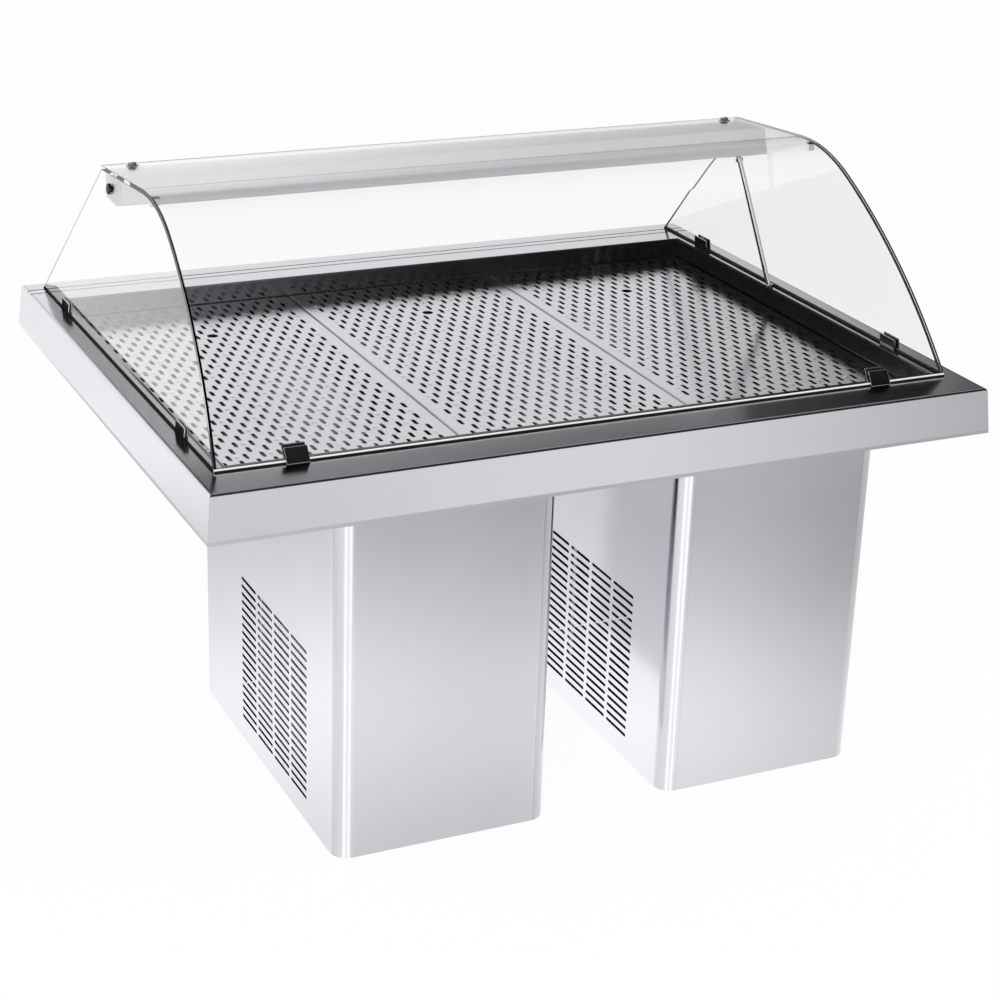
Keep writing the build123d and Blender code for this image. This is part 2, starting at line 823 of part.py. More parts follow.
with BuildPart() as canopy_end_bolts:
    add(end_bolt_right.part)
    mirror(end_bolt_right.part, about=Plane.YZ)
write(canopy_end_bolts, "canopy_end_bolts")

# Bright tube that takes the lamp's wires down to the rim
with BuildPart() as lamp_conduit:
    with BuildSketch(conduit_plane):
        RegularPolygon(conduit_radius, bolt_sides)
    extrude(amount=conduit_way.length)
    split(bisect_by=Plane.XY.offset(rim_height + conduit_gap), keep=Keep.TOP)
write(lamp_conduit, "lamp_conduit")

with BuildPart() as conduit_ferrules:
    with BuildSketch(Plane.XY.offset(rim_height)):
        with Locations((conduit_foot.X, conduit_foot.Y)):
            RegularPolygon(conduit_radius + ferrule_wall, bolt_sides)
    extrude(amount=ferrule_height)
    with BuildSketch(conduit_plane.offset(conduit_way.length - ferrule_drop)):
        RegularPolygon(conduit_radius + ferrule_head_wall, bolt_sides)
    extrude(amount=ferrule_head_height)
    with BuildSketch(conduit_plane.offset(-ferrule_drop)):
        RegularPolygon(conduit_radius + seal_gap, bolt_sides)
    extrude(amount=conduit_way.length + 2 * ferrule_drop, mode=Mode.SUBTRACT)
write(conduit_ferrules, "conduit_ferrules")

# Pedestals: wraps louvred on one side round a plain frame, closed at the staff side by a pull-off panel
louvre_block = louvre_columns * louvre_length + (louvre_columns - 1) * louvre_gap
louvre_middle = (louvre_front + louvre_block / 2, louvre_foot + louvre_pitch * (louvre_rows - 1) / 2)
panel_middle = pan_foot / 2
panel_lip_width = pedestal_width - 2 * (shell_return + pedestal_sheet)
grip_length, grip_height = grip_size
grip_span = grip_length - grip_height
for side, hand in ((-1, "left"), (1, "right")):
    middle_x = side * pedestal_middle
    with BuildPart() as pedestal_shell:
        with BuildSketch(Plane.XY.offset(pad_height)):
            with Locations((middle_x, pedestal_centre)):
                wrap = Rectangle(pedestal_width, pedestal_length)
            fillet(wrap.vertices().group_by(Axis.Y)[0], pedestal_radius)
            offset(amount=-pedestal_sheet, mode=Mode.SUBTRACT)
            with Locations((middle_x, pedestal_back)):
                Rectangle(pedestal_width - 2 * shell_return, 4 * pedestal_sheet, mode=Mode.SUBTRACT)
        extrude(amount=shell_top - pad_height)
        with BuildSketch(Plane.XY.offset(pan_foot - fit_gap)):
            with Locations((middle_x, pan_front - fit_gap)):
                Rectangle(counter_width, counter_depth, align=(Align.CENTER, Align.MIN))
        extrude(amount=skirt_height, mode=Mode.SUBTRACT)
        with BuildSketch(Plane.YZ.offset(middle_x)):
            with Locations(louvre_middle):
                with GridLocations(louvre_length + louvre_gap, louvre_pitch, louvre_columns, louvre_rows):
                    Rectangle(louvre_length, louvre_height)
        extrude(amount=-pedestal_width, mode=Mode.SUBTRACT)
    write(pedestal_shell, f"pedestal_shell_{hand}")

    with BuildPart() as service_panel:
        with BuildSketch(Plane.XZ.offset(-pedestal_back - slot_gap)):
            with Locations((middle_x, panel_middle)):
                panel = Rectangle(pedestal_width - 2 * panel_margin, pan_foot - 4 * panel_margin)
            chamfer(panel.vertices(), panel_corner)
            with Locations((middle_x, pan_foot - grip_drop)):
                Rectangle(grip_span, grip_height, mode=Mode.SUBTRACT)
                with GridLocations(grip_span, 1, 2, 1):
                    RegularPolygon(grip_height / 2, bore_sides, mode=Mode.SUBTRACT)
        extrude(amount=-pedestal_sheet)
        with BuildSketch(Plane.XZ.offset(-pedestal_back - slot_gap)):
            with Locations((middle_x, panel_middle - panel_lip_drop / 4)):
                Rectangle(panel_lip_width, pan_foot - 2 * panel_lip_drop)
                Rectangle(panel_lip_width - 2 * pedestal_sheet, pan_foot, mode=Mode.SUBTRACT)
        extrude(amount=panel_lip)
    write(service_panel, f"service_panel_{hand}")

    with BuildPart() as pedestal_base:
        with BuildSketch(Plane.XY.offset(pad_height)):
            with Locations((middle_x, pedestal_centre)):
                plate = Rectangle(pedestal_width - 2 * pedestal_sheet, pedestal_length - 2 * pedestal_sheet)
            fillet(plate.vertices().group_by(Axis.Y)[0], pedestal_radius)
            with Locations(drain_place):
                RegularPolygon(hose_hole, shroud_sides, mode=Mode.SUBTRACT)
        extrude(amount=base_thickness)
    write(pedestal_base, f"pedestal_base_{hand}")

    with BuildPart() as pedestal_posts:
        for corner_x in (-1, 1):
            post_x = middle_x + corner_x * (pedestal_width / 2 - pedestal_sheet)
            for corner_y, post_y in ((-1, post_front), (1, post_back)):
                across = Align.MAX if corner_x > 0 else Align.MIN
                along = Align.MAX if corner_y > 0 else Align.MIN
                with BuildSketch(Plane.XY.offset(base_top)):
                    with Locations((post_x, post_y)):
                        Rectangle(post_width, post_sheet, align=(across, along))
                        Rectangle(post_sheet, post_width, align=(across, along))
                extrude(amount=head_foot - base_top)
        with BuildSketch(Plane.XY.offset(strip_foot)):
            with Locations((middle_x - pedestal_width / 2 + pedestal_sheet, strip_place)):
                Rectangle(post_sheet, strip_width, align=(Align.MIN, Align.CENTER))
        extrude(amount=head_foot - strip_foot)
    write(pedestal_posts, f"pedestal_posts_{hand}")

head_middle = pedestal_back - head_length / 2 - 2 * pedestal_sheet
with BuildPart() as pedestal_heads:
    with BuildSketch(Plane.XY.offset(head_foot)):
        with Locations((0, head_middle)):
            with GridLocations(2 * pedestal_middle, 1, 2, 1):
                Rectangle(pedestal_width - 2 * (pedestal_sheet + fit_gap), head_length)
        with Locations(drain_place):
            RegularPolygon(drain_hole / 2, bore_sides, mode=Mode.SUBTRACT)
        with Locations(*line_places):
            RegularPolygon(line_hole / 2, bore_sides, mode=Mode.SUBTRACT)
    extrude(amount=head_thickness)
write(pedestal_heads, "pedestal_heads")

with BuildPart() as head_bolts:
    with BuildSketch(Plane.XY.offset(head_foot)):
        for side in (-1, 1):
            with Locations((side * pedestal_middle, head_middle)):
                with GridLocations(*head_bolt_pitch, 2, 2):
                    RegularPolygon(head_bolt_radius, 6)
    extrude(amount=-head_bolt_height)
write(head_bolts, "head_bolts")

with BuildPart() as floor_pads:
    with BuildSketch():
        for side in (-1, 1):
            with Locations((side * pedestal_middle, pedestal_centre)):
                with GridLocations(pedestal_width - 2 * pad_inset, pedestal_length - 2 * pad_inset, 2, 2):
                    RegularPolygon(pad_radius, pad_sides)
    extrude(amount=pad_height)
write(floor_pads, "floor_pads")

# Condensing unit in the left pedestal: air from the louvres through the coil to the fan
unit_x = -pedestal_middle
unit_top = base_top + unit_sheet
unit_width, unit_length = unit_size
with BuildPart() as unit_base:
    with BuildSketch(Plane.XY.offset(base_top)):
        with Locations((unit_x, unit_y)):
            Rectangle(unit_width, unit_length)
    extrude(amount=unit_edge)
    with BuildSketch(Plane.XY.offset(unit_top)):
        with Locations((unit_x, unit_y)):
            Rectangle(unit_width - 2 * unit_sheet, 2 * unit_length)
    extrude(amount=unit_edge, mode=Mode.SUBTRACT)
write(unit_base, "unit_base")

return_width, return_length = condenser_return
with BuildPart() as condenser_coil:
    with BuildSketch(Plane.XY.offset(unit_top + condenser_lift)):
        with Locations((condenser_x, fan_y)):
            Rectangle(condenser_core, condenser_length)
            with GridLocations(1, condenser_length / fin_count, 1, fin_count):
                Rectangle(condenser_depth, fin_sheet)
    extrude(amount=condenser_height)
    with BuildSketch(Plane.XY.offset(unit_top)):
        with Locations((condenser_x, fan_y)):
            with GridLocations(1, condenser_length + condenser_plate, 1, 2):
                Rectangle(condenser_depth + plate_lip, condenser_plate)
    extrude(amount=condenser_height + plate_rise)
    with BuildSketch(Plane.XZ.offset(-fan_y + condenser_length / 2 + condenser_plate)):
        with Locations((condenser_x, fan_z)):
            with GridLocations(1, condenser_return_pitch, 1, 4):
                Rectangle(return_width, return_length)
    extrude(amount=condenser_return_reach)
write(condenser_coil, "condenser_coil")

shroud_x = condenser_x + condenser_depth / 2 + 2 * unit_sheet
shroud_bore = fan_radius + fan_gap
shroud_height = condenser_height + plate_rise
with BuildPart() as fan_shroud:
    with BuildSketch(Plane.YZ.offset(shroud_x)):
        with Locations((fan_y, unit_top)):
            Rectangle(condenser_length + condenser_plate, shroud_height, align=(Align.CENTER, Align.MIN))
        with Locations((fan_y, fan_z)):
            RegularPolygon(shroud_bore, shroud_sides, mode=Mode.SUBTRACT)
    extrude(amount=unit_sheet)
    with BuildSketch(Plane.YZ.offset(shroud_x)):
        with Locations((fan_y, fan_z)):
            RegularPolygon(shroud_bore + unit_sheet, shroud_sides)
            RegularPolygon(shroud_bore, shroud_sides, mode=Mode.SUBTRACT)
    extrude(amount=shroud_depth)
write(fan_shroud, "fan_shroud")

hub_x = shroud_x + 2 * unit_sheet
blade_turn = 360 / blade_count
with BuildPart() as fan_blades:
    with BuildSketch(Plane.YZ.offset(hub_x)):
        with Locations((fan_y, fan_z)):
            RegularPolygon(hub_radius, bore_sides)
    extrude(amount=hub_depth)
    for blade in range(blade_count):
        turn = radians(blade_turn * blade)
        hub_middle = (hub_x + hub_depth / 2, fan_y, fan_z)
        root = Plane(origin=hub_middle, x_dir=(1, 0, 0), z_dir=(0, cos(turn), sin(turn)))
        with BuildSketch(root.offset(hub_radius - 2 * blade_sheet)):
            Rectangle(blade_sheet, blade_width, rotation=blade_pitch)
        extrude(amount=fan_radius)
    with BuildSketch(Plane.YZ.offset(hub_x - hub_depth)):
        with Locations((fan_y, fan_z)):
            RegularPolygon(fan_radius, shroud_sides)
    extrude(amount=3 * hub_depth, mode=Mode.INTERSECT)
    with BuildSketch(Plane.YZ.offset(hub_x + hub_depth)):
        with Locations((fan_y, fan_z)):
            Circle(shaft_radius + running_gap)
    extrude(amount=2 * blade_sheet - hub_depth, mode=Mode.SUBTRACT)
write(fan_blades, "fan_blades")

motor_x = hub_x + hub_depth + motor_gap
bracket_width, bracket_length = motor_bracket
with BuildPart() as fan_motor:
    with BuildSketch(Plane.YZ.offset(motor_x)):
        with Locations((fan_y, fan_z)):
            RegularPolygon(motor_radius, drum_sides)
    extrude(amount=motor_length)
    chamfer(fan_motor.faces().filter_by(Axis.X).edges(), motor_edge)
    with BuildSketch(Plane.YZ.offset(motor_x)):
        with Locations((fan_y, fan_z)):
            Circle(shaft_radius)
    extrude(amount=shaft_end - motor_gap - hub_depth)
    with BuildSketch(Plane.XY.offset(unit_top)):
        with Locations((motor_x + motor_length / 2, fan_y)):
            Rectangle(bracket_sheet, bracket_length)
    extrude(amount=fan_z - unit_top)
    with BuildSketch(Plane.XY.offset(unit_top)):
        with Locations((motor_x + motor_length / 2, fan_y)):
            Rectangle(bracket_width, bracket_length)
    extrude(amount=bracket_sheet)
write(fan_motor, "fan_motor")

can_foot = unit_top + mount_height
can_slope = degrees(atan2(can_radius - can_foot_radius, can_waist))
can_crown_radius = can_radius - (can_crown - can_shoulder)
can_levels = (
    (0, can_foot_radius, can_waist, -can_slope),
    (can_waist, can_radius, can_shoulder - can_waist, 0),
    (can_shoulder, can_radius, can_crown - can_shoulder, 45),
    (can_crown, can_crown_radius, can_top - can_crown, can_top_slope),
)
with BuildPart() as compressor:
    for level, radius, height, slope in can_levels:
        with BuildSketch(Plane.XY.offset(can_foot + level)):
            with Locations(compressor_place):
                RegularPolygon(radius, drum_sides)
        extrude(amount=height, taper=slope)
    with BuildSketch(Plane.XY.offset(can_foot)):
        with Locations(compressor_place):
            Rectangle(can_plate, can_plate)
    extrude(amount=bracket_sheet)
write(compressor, "compressor")

with BuildPart() as compressor_mounts:
    with BuildSketch(Plane.XY.offset(unit_top)):
        with Locations(compressor_place):
            with GridLocations(mount_pitch, mount_pitch, 2, 2):
                RegularPolygon(mount_radius, pad_sides)
    extrude(amount=mount_height)
write(compressor_mounts, "compressor_mounts")

compressor_x, compressor_y = compressor_place
receiver_under = receiver_level - receiver_radius
with BuildPart() as receiver_tank:
    with BuildSketch(Plane.YZ.offset(compressor_x)):
        with Locations((receiver_y, receiver_level)):
            RegularPolygon(receiver_radius, drum_sides)
    extrude(amount=receiver_half, both=True)
    chamfer(receiver_tank.faces().filter_by(Axis.X).edges(), receiver_edge)
    with BuildSketch(Plane.XY.offset(unit_top)):
        with Locations((compressor_x, receiver_y)):
            with GridLocations(receiver_foot_pitch, 1, 2, 1):
                Rectangle(*receiver_foot)
    extrude(amount=receiver_under + receiver_edge - unit_top)
write(receiver_tank, "receiver_tank")

suction_route = (
    (draw_x, draw_y, tail_foot - slot_gap),
    (draw_x, draw_y, pipe_level),
    (compressor_x, compressor_y, pipe_level),
    (compressor_x, compressor_y, can_foot + can_top + slot_gap),
)
liquid_level = pipe_level + liquid_rise
liquid_route = (
    (feed_x, feed_y, tail_foot - slot_gap),
    (feed_x, feed_y, liquid_level),
    (liquid_x, feed_y, liquid_level),
    (liquid_x, receiver_y, liquid_level),
    (liquid_x, receiver_y, receiver_level + receiver_radius + slot_gap),
)
for name, route in (("suction_line", suction_route), ("liquid_line", liquid_route)):
    with BuildPart() as pipe:
        with BuildLine() as pipe_path:
            Polyline(*cut_corners(route, pipe_bend))
        with BuildSketch(Plane(origin=pipe_path.line @ 0, z_dir=pipe_path.line % 0)):
            RegularPolygon(coil_tube / 2, tube_sides)
        sweep(path=pipe_path.line, transition=Transition.RIGHT)
    write(pipe, name)

# Controls under the rear of the rim, facing the staff
box_middle = (box_front + box_back) / 2
rocker_places = [box_x + place for place in rocker_offsets]
dial_x = box_x + dial_offset
control_face = Plane.XZ.offset(-box_back)
with BuildPart() as control_box:
    with BuildSketch(Plane.XY.offset(box_foot)):
        with Locations((box_x, box_middle)):
            case = Rectangle(box_width, box_back - box_front)
        chamfer(case.vertices(), box_corner)
    extrude(amount=pan_foot - box_foot)
    with BuildSketch(control_face):
        with Locations(*[(place, control_z) for place in rocker_places]):
            Rectangle(rocker_width + rocker_gap, rocker_height + rocker_gap)
        with Locations((dial_x, control_z)):
            Circle(dial_hole)
    extrude(amount=control_pocket, mode=Mode.SUBTRACT)
    with BuildSketch(control_face):
        with Locations((dial_x, control_z)):
            turns = PolarLocations(
                dial_mark_radius, dial_mark_count, 90 - dial_mark_arc / 2, dial_mark_arc, endpoint=True
            )
            with turns:
                Rectangle(*dial_mark)
    extrude(amount=-fit_gap)
write(control_box, "control_box")

rocker_root = box_back - rocker_back
rocker_foot = control_z - rocker_height / 2
rocker_head = control_z + rocker_height / 2
for name, place in zip(("power_rocker", "light_rocker"), rocker_places):
    with BuildPart() as rocker:
        with BuildSketch(Plane.YZ.offset(place - rocker_width / 2)):
            with BuildLine():
                Polyline(
                    (rocker_root, rocker_foot + 2 * rocker_gap),
                    (box_back + rocker_lean / 2, rocker_foot),
                    (box_back + rocker_lean, control_z),
                    (box_back + 2 * rocker_lean, rocker_head - rocker_gap / 2),
                    (rocker_root, rocker_head - 2 * rocker_gap),
                    close=True,
                )
            make_face()
        extrude(amount=rocker_width)
    write(rocker, name)

dial_face = Plane.XZ.offset(-box_back - dial_gap)
with BuildPart() as thermostat_dial:
    with BuildSketch(dial_face):
        with Locations((dial_x, control_z)):
            RegularPolygon(dial_radius, dial_sides)
    extrude(amount=-dial_depth)
    with BuildSketch(dial_face.offset(-dial_depth)):
        with Locations((dial_x, control_z)):
            Rectangle(*dial_grip)
    extrude(amount=-dial_grip_height)
    with BuildSketch(dial_face):
        with Locations((dial_x, control_z)):
            Circle(dial_pin)
    extrude(amount=control_pocket - rocker_gap)
write(thermostat_dial, "thermostat_dial")

with BuildPart() as mains_gland:
    with BuildSketch(Plane.XY.offset(box_foot)):
        with Locations((box_x + gland_offset, box_middle)):
            RegularPolygon(gland_nut, 6)
    extrude(amount=-gland_nut_height)
    with BuildSketch(Plane.XY.offset(box_foot - gland_nut_height)):
        with Locations((box_x + gland_offset, box_middle)):
            RegularPolygon(gland_neck, gland_sides)
            RegularPolygon(gland_bore, gland_sides, mode=Mode.SUBTRACT)
    extrude(amount=-gland_neck_height)
write(mains_gland, "mains_gland")
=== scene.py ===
import json
import math

import bmesh
import bpy
from mathutils import Matrix, Vector

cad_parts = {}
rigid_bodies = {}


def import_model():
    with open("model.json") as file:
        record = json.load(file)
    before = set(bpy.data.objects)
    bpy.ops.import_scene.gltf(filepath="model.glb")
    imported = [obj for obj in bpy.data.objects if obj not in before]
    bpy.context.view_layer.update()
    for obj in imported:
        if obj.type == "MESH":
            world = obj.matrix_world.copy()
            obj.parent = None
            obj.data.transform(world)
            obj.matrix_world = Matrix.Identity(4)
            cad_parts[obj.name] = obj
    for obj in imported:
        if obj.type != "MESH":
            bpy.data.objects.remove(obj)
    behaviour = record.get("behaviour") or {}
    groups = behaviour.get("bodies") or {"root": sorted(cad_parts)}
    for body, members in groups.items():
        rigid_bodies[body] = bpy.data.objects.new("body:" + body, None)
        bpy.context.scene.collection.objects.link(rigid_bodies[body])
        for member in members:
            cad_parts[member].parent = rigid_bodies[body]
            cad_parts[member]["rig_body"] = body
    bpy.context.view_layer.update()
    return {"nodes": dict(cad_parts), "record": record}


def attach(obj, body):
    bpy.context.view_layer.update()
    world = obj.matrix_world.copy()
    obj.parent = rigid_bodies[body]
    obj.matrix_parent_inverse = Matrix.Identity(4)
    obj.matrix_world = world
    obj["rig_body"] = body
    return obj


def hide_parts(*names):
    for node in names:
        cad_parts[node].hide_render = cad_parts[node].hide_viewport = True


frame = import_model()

scene = bpy.context.scene
scene.view_settings.view_transform = "Standard"
nodes = frame["nodes"]
nodeSlots = {part["node"]: part["material_slot"] for part in frame["record"]["subparts"]}
print("frame loaded with", len(nodes), "nodes")


# Wires and node sheets: shader maths in plain expressions
class Wire:
    def __init__(self, sheet, socket):
        self.sheet, self.socket = sheet, socket

    def maths(self, operation, first, second=0.0):
        return self.sheet.node("ShaderNodeMath", {"operation": operation}, {0: first, 1: second})

    def __add__(self, other):
        return self.maths("ADD", self, other)

    def __sub__(self, other):
        return self.maths("SUBTRACT", self, other)

    def __rsub__(self, other):
        return self.maths("SUBTRACT", other, self)

    def __mul__(self, other):
        return self.maths("MULTIPLY", self, other)

    def __truediv__(self, other):
        return self.maths("DIVIDE", self, other)

    def __gt__(self, other):
        return self.maths("GREATER_THAN", self, other)

    def __lt__(self, other):
        return self.maths("LESS_THAN", self, other)

    def __abs__(self):
        return self.maths("ABSOLUTE", self)

    __radd__ = __add__
    __rmul__ = __mul__


class NodeSheet:
    def __init__(self, owner):
        owner.use_nodes = True
        self.tree = owner.node_tree
        self.tree.nodes.clear()

    def node(self, kind, settings=None, sockets=None, out=0):
        made = self.tree.nodes.new(kind)
        for key, value in (settings or {}).items():
            if key == "stops":  # a ramp's places and grey levels
                elements = made.color_ramp.elements
                while len(elements) > 1:
                    elements.remove(elements[-1])
                for number, (place, level) in enumerate(value):
                    stop = elements[0] if number == 0 else elements.new(place)
                    stop.position = place
                    stop.color = (level, level, level, 1)
            else:
                setattr(made, key, value)
        for key, value in (sockets or {}).items():
            if isinstance(value, Wire):
                self.tree.links.new(value.socket, made.inputs[key])
            else:
                made.inputs[key].default_value = value
        return Wire(self, made.outputs[out]) if made.outputs else None

    def objectPlace(self):
        return self.node("ShaderNodeTexCoord", out="Object")

    def parts(self, vector):
        split = self.node("ShaderNodeSeparateXYZ", None, {0: vector}).socket.node
        return [Wire(self, output) for output in split.outputs]

    def lightPath(self, *rays):
        path = self.node("ShaderNodeLightPath").socket.node
        return [Wire(self, path.outputs[ray]) for ray in rays]

    def noise(self, place, stretch, detail=2.0, rough=0.5):
        laid = self.node("ShaderNodeMapping", None, {"Vector": place, "Scale": stretch})
        return self.node("ShaderNodeTexNoise", None,
                         {"Vector": laid, "Scale": 1.0, "Detail": detail, "Roughness": rough})

    def blend(self, factor, first, second):  # two colours
        return self.node("ShaderNodeMix", {"data_type": "RGBA"}, {0: factor, 6: first, 7: second}, out=2)

    def ramp(self, value, stops):
        return self.node("ShaderNodeValToRGB", {"stops": stops}, {0: value})

    def bump(self, height, strength, distance):
        return self.node("ShaderNodeBump", None,
                         {"Height": height, "Strength": strength, "Distance": distance})


def newFinish(name):
    material = bpy.data.materials.new(name)
    return material, NodeSheet(material)


def surface(sheet, sockets):
    shader = sheet.node("ShaderNodeBsdfPrincipled", None, sockets)
    sheet.node("ShaderNodeOutputMaterial", None, {"Surface": shader})


def grey(level, tint=(1.0, 1.0, 1.0)):
    return (level * tint[0], level * tint[1], level * tint[2], 1.0)


# Satin steel: a fine mottled grain, slow clouds in tone and sheen, faint scratches along one way, and
# painted shade in the floors of grooves
steelLook = {
    "tint": (0.955, 0.963, 1.0), "along": 6.0, "across": 520.0, "cloud": 4.0, "mottle": 420.0,
    "spread": 0.07, "toneMottle": 0.35, "sheenMottle": 0.25,
    "bumpMottle": 0.15, "bump": 0.012, "bumpDepth": 0.0003,
    "mitre": 0.15,  # half the rim's width less half its depth
    # where the grooves' floors get painted shade, and how dark it is
    "grooveHalf": 0.0017, "grooveAbove": 0.7275, "groovePaintedShade": 0.08,
}


def satinSteel(name, grain, tone, rough, mitred=False, streaks=0.2, grooves=(), metallic=1.0):
    material, sheet = newFinish(name)
    place = sheet.objectPlace()
    x, y, z = sheet.parts(place)
    stretch = [steelLook["across"]] * 3
    stretch[grain] = steelLook["along"]
    scratches = sheet.noise(place, stretch, detail=3.0, rough=0.6)
    if mitred:  # the side bars are brushed along Y, the front and rear bars along X
        turned = sheet.noise(place, (stretch[1], stretch[0], stretch[2]), detail=3.0, rough=0.6)
        sideBar = (abs(x) - abs(y)) > steelLook["mitre"]
        scratches = turned * sideBar + scratches * (1 - sideBar)
    clouds = sheet.noise(place, [steelLook["cloud"]] * 3, detail=3.0, rough=0.55)
    mottle = sheet.noise(place, [steelLook["mottle"]] * 3, detail=4.0, rough=0.65)

    def mixed(fine):  # the clouds take what the scratches and the mottle leave
        return scratches * streaks + mottle * fine + clouds * (1 - fine - streaks)

    spread = steelLook["spread"]
    darker, lighter = (grey(tone * level, steelLook["tint"]) for level in (1 - spread, 1 + spread))
    colour = sheet.blend(mixed(steelLook["toneMottle"]), darker, lighter)
    for groove in grooves:  # the floor of each groove is painted dark, as painted shade
        grooveShadeMask = (abs(y - groove) < steelLook["grooveHalf"]) * (z > steelLook["grooveAbove"])
        colour = sheet.blend(grooveShadeMask, colour, grey(tone * steelLook["groovePaintedShade"]))
    low, high = rough
    grainHeight = scratches * streaks + mottle * steelLook["bumpMottle"]
    surface(sheet, {
        "Base Color": colour, "Metallic": metallic,
        "Roughness": low + (high - low) * mixed(steelLook["sheenMottle"]),
        "Normal": sheet.bump(grainHeight, steelLook["bump"], steelLook["bumpDepth"]),
    })
    return material


# Clear glass with the faintest smears; light goes straight through it to cast soft shadows
glassLook = {
    "colour": (0.994, 1.0, 0.998, 1.0), "smear": (9.0, 3.0, 6.0), "smearRough": ((0.35, 0.0), (0.8, 0.012)),
    # the dark green painted on a thin pane's edges: partly the glass's own tint, partly painted shade
    "edge": (0.035, 0.045, 0.045, 1.0), "edgeRough": 0.1,
    "facing": 0.9,  # a face that points less than this along X is an edge
    # the pale band painted as a highlight along the foot of the front pane
    "footHighlight": (0.78, 0.92), "footHighlightRough": 0.5, "footHighlightBelow": 0.7357, "footHighlightBefore": -0.509,
}


def clearGlass(name, index, thin=False, footHighlight=False):
    material, sheet = newFinish(name)
    place = sheet.objectPlace()
    smear = sheet.noise(place, glassLook["smear"], detail=4.0, rough=0.6)
    through = sheet.node("ShaderNodeBsdfTransparent", None, {"Color": glassLook["colour"]})
    pane = {"Base Color": glassLook["colour"], "IOR": index, "Transmission Weight": 1.0,
            "Roughness": sheet.ramp(smear, glassLook["smearRough"])}
    share = sheet.node("ShaderNodeLightPath", out="Is Shadow Ray")
    if thin:  # no bending: only the shine lies over what is behind
        pane.update({"Base Color": grey(1.0), "Transmission Weight": 0.0, "Metallic": 1.0})
        shine = sheet.node("ShaderNodeFresnel", None, {"IOR": index})
        inner = sheet.node("ShaderNodeNewGeometry", out="Backfacing")
        share = 1 - shine * (1 - share) * (1 - inner)
    shader = sheet.node("ShaderNodeBsdfPrincipled", None, pane)
    mixed = sheet.node("ShaderNodeMixShader", None, {0: share, 1: shader, 2: through})
    if thin:  # its edges are painted dark green: the glass's own tint there, and painted shade for what bending through the edge would show
        across = sheet.parts(sheet.node("ShaderNodeNewGeometry", out="Normal"))[0]
        line = sheet.node("ShaderNodeBsdfPrincipled", None,
                          {"Base Color": glassLook["edge"], "Roughness": glassLook["edgeRough"]})
        onEdge = abs(across) < glassLook["facing"]
        mixed = sheet.node("ShaderNodeMixShader", None, {0: onEdge, 1: mixed, 2: line})
    if footHighlight:  # a pale matt band along the foot of its outer face: a painted highlight
        along, up = sheet.parts(place)[1:]
        dull, pale = glassLook["footHighlight"]
        matt = sheet.node("ShaderNodeBsdfPrincipled", None, {
            "Base Color": sheet.blend(smear, grey(dull), grey(pale)), "Roughness": glassLook["footHighlightRough"]})
        band = (up < glassLook["footHighlightBelow"]) * (along < glassLook["footHighlightBefore"])
        mixed = sheet.node("ShaderNodeMixShader", None, {0: band, 1: mixed, 2: matt})
    sheet.node("ShaderNodeOutputMaterial", None, {"Surface": mixed})
    return material


# Plain finishes: colour and roughness drift slowly, with a fine grain in the surface
plainLook = {"grain": 900.0, "grainTone": 0.3, "grainSheen": 0.5, "bumpDepth": 0.0005}


def drifted(name, colour, spread, rough, metallic=0.0, scale=40.0, bump=0.05, coat=0.0, glow=0.0):
    material, sheet = newFinish(name)
    place = sheet.objectPlace()
    drift = sheet.noise(place, [scale] * 3, detail=3.0, rough=0.55)
    grain = sheet.noise(place, [plainLook["grain"]] * 3)
    darker = tuple(channel * (1 - spread) for channel in colour) + (1.0,)
    lighter = tuple(min(1.0, channel * (1 + spread)) for channel in colour) + (1.0,)

    def mixed(fine):
        return drift * (1 - fine) + grain * fine

    low, high = rough
    surface(sheet, {
        "Base Color": sheet.blend(mixed(plainLook["grainTone"]), darker, lighter), "Metallic": metallic,
        "Roughness": low + (high - low) * mixed(plainLook["grainSheen"]), "Coat Weight": coat,
        "Normal": sheet.bump(grain, bump, plainLook["bumpDepth"]),
        "Emission Color": grey(1.0), "Emission Strength": glow,
    })
    return material


# Zinc coat with its crystal patches
zincLook = {"patches": 70.0, "drift": 8.0, "patchTone": 0.6, "levels": (0.78, 1.12), "rough": (0.34, 0.54),
            "metallic": 0.9}


def spangled(name, tone):
    material, sheet = newFinish(name)
    place = sheet.objectPlace()
    patches = sheet.node("ShaderNodeTexVoronoi", None, {"Vector": place, "Scale": zincLook["patches"]},
                         out="Color")
    patch, sheen = sheet.parts(patches)[:2]
    drift = sheet.noise(place, [zincLook["drift"]] * 3, detail=3.0)
    shade = patch * zincLook["patchTone"] + drift * (1 - zincLook["patchTone"])
    darker, lighter = (grey(tone * level) for level in zincLook["levels"])
    low, high = zincLook["rough"]
    surface(sheet, {
        "Base Color": sheet.blend(shade, darker, lighter), "Metallic": zincLook["metallic"],
        "Roughness": low + (high - low) * sheen,
    })
    return material


# Thin aluminium fins edge on: dark bands of painted shade in the gaps between them, and light bands for
# their lit edges
finLook = {"waves": 2200.0, "levels": (0.32, 0.72), "rough": (0.3, 0.55), "metallic": 0.9,
           "bump": 0.4, "bumpDepth": 0.001}


def finned(name):
    material, sheet = newFinish(name)
    along = sheet.parts(sheet.objectPlace())[1] * finLook["waves"]
    # the bands' tone is painted shade and light, their roughness and bump the fins themselves
    finsAndGapShade = along.maths("SINE", along) * 0.5 + 0.5
    darker, lighter = (grey(level) for level in finLook["levels"])
    low, high = finLook["rough"]
    surface(sheet, {
        "Base Color": sheet.blend(finsAndGapShade, darker, lighter), "Metallic": finLook["metallic"],
        "Roughness": low + (high - low) * finsAndGapShade,
        "Normal": sheet.bump(finsAndGapShade, finLook["bump"], finLook["bumpDepth"]),
    })
    return material


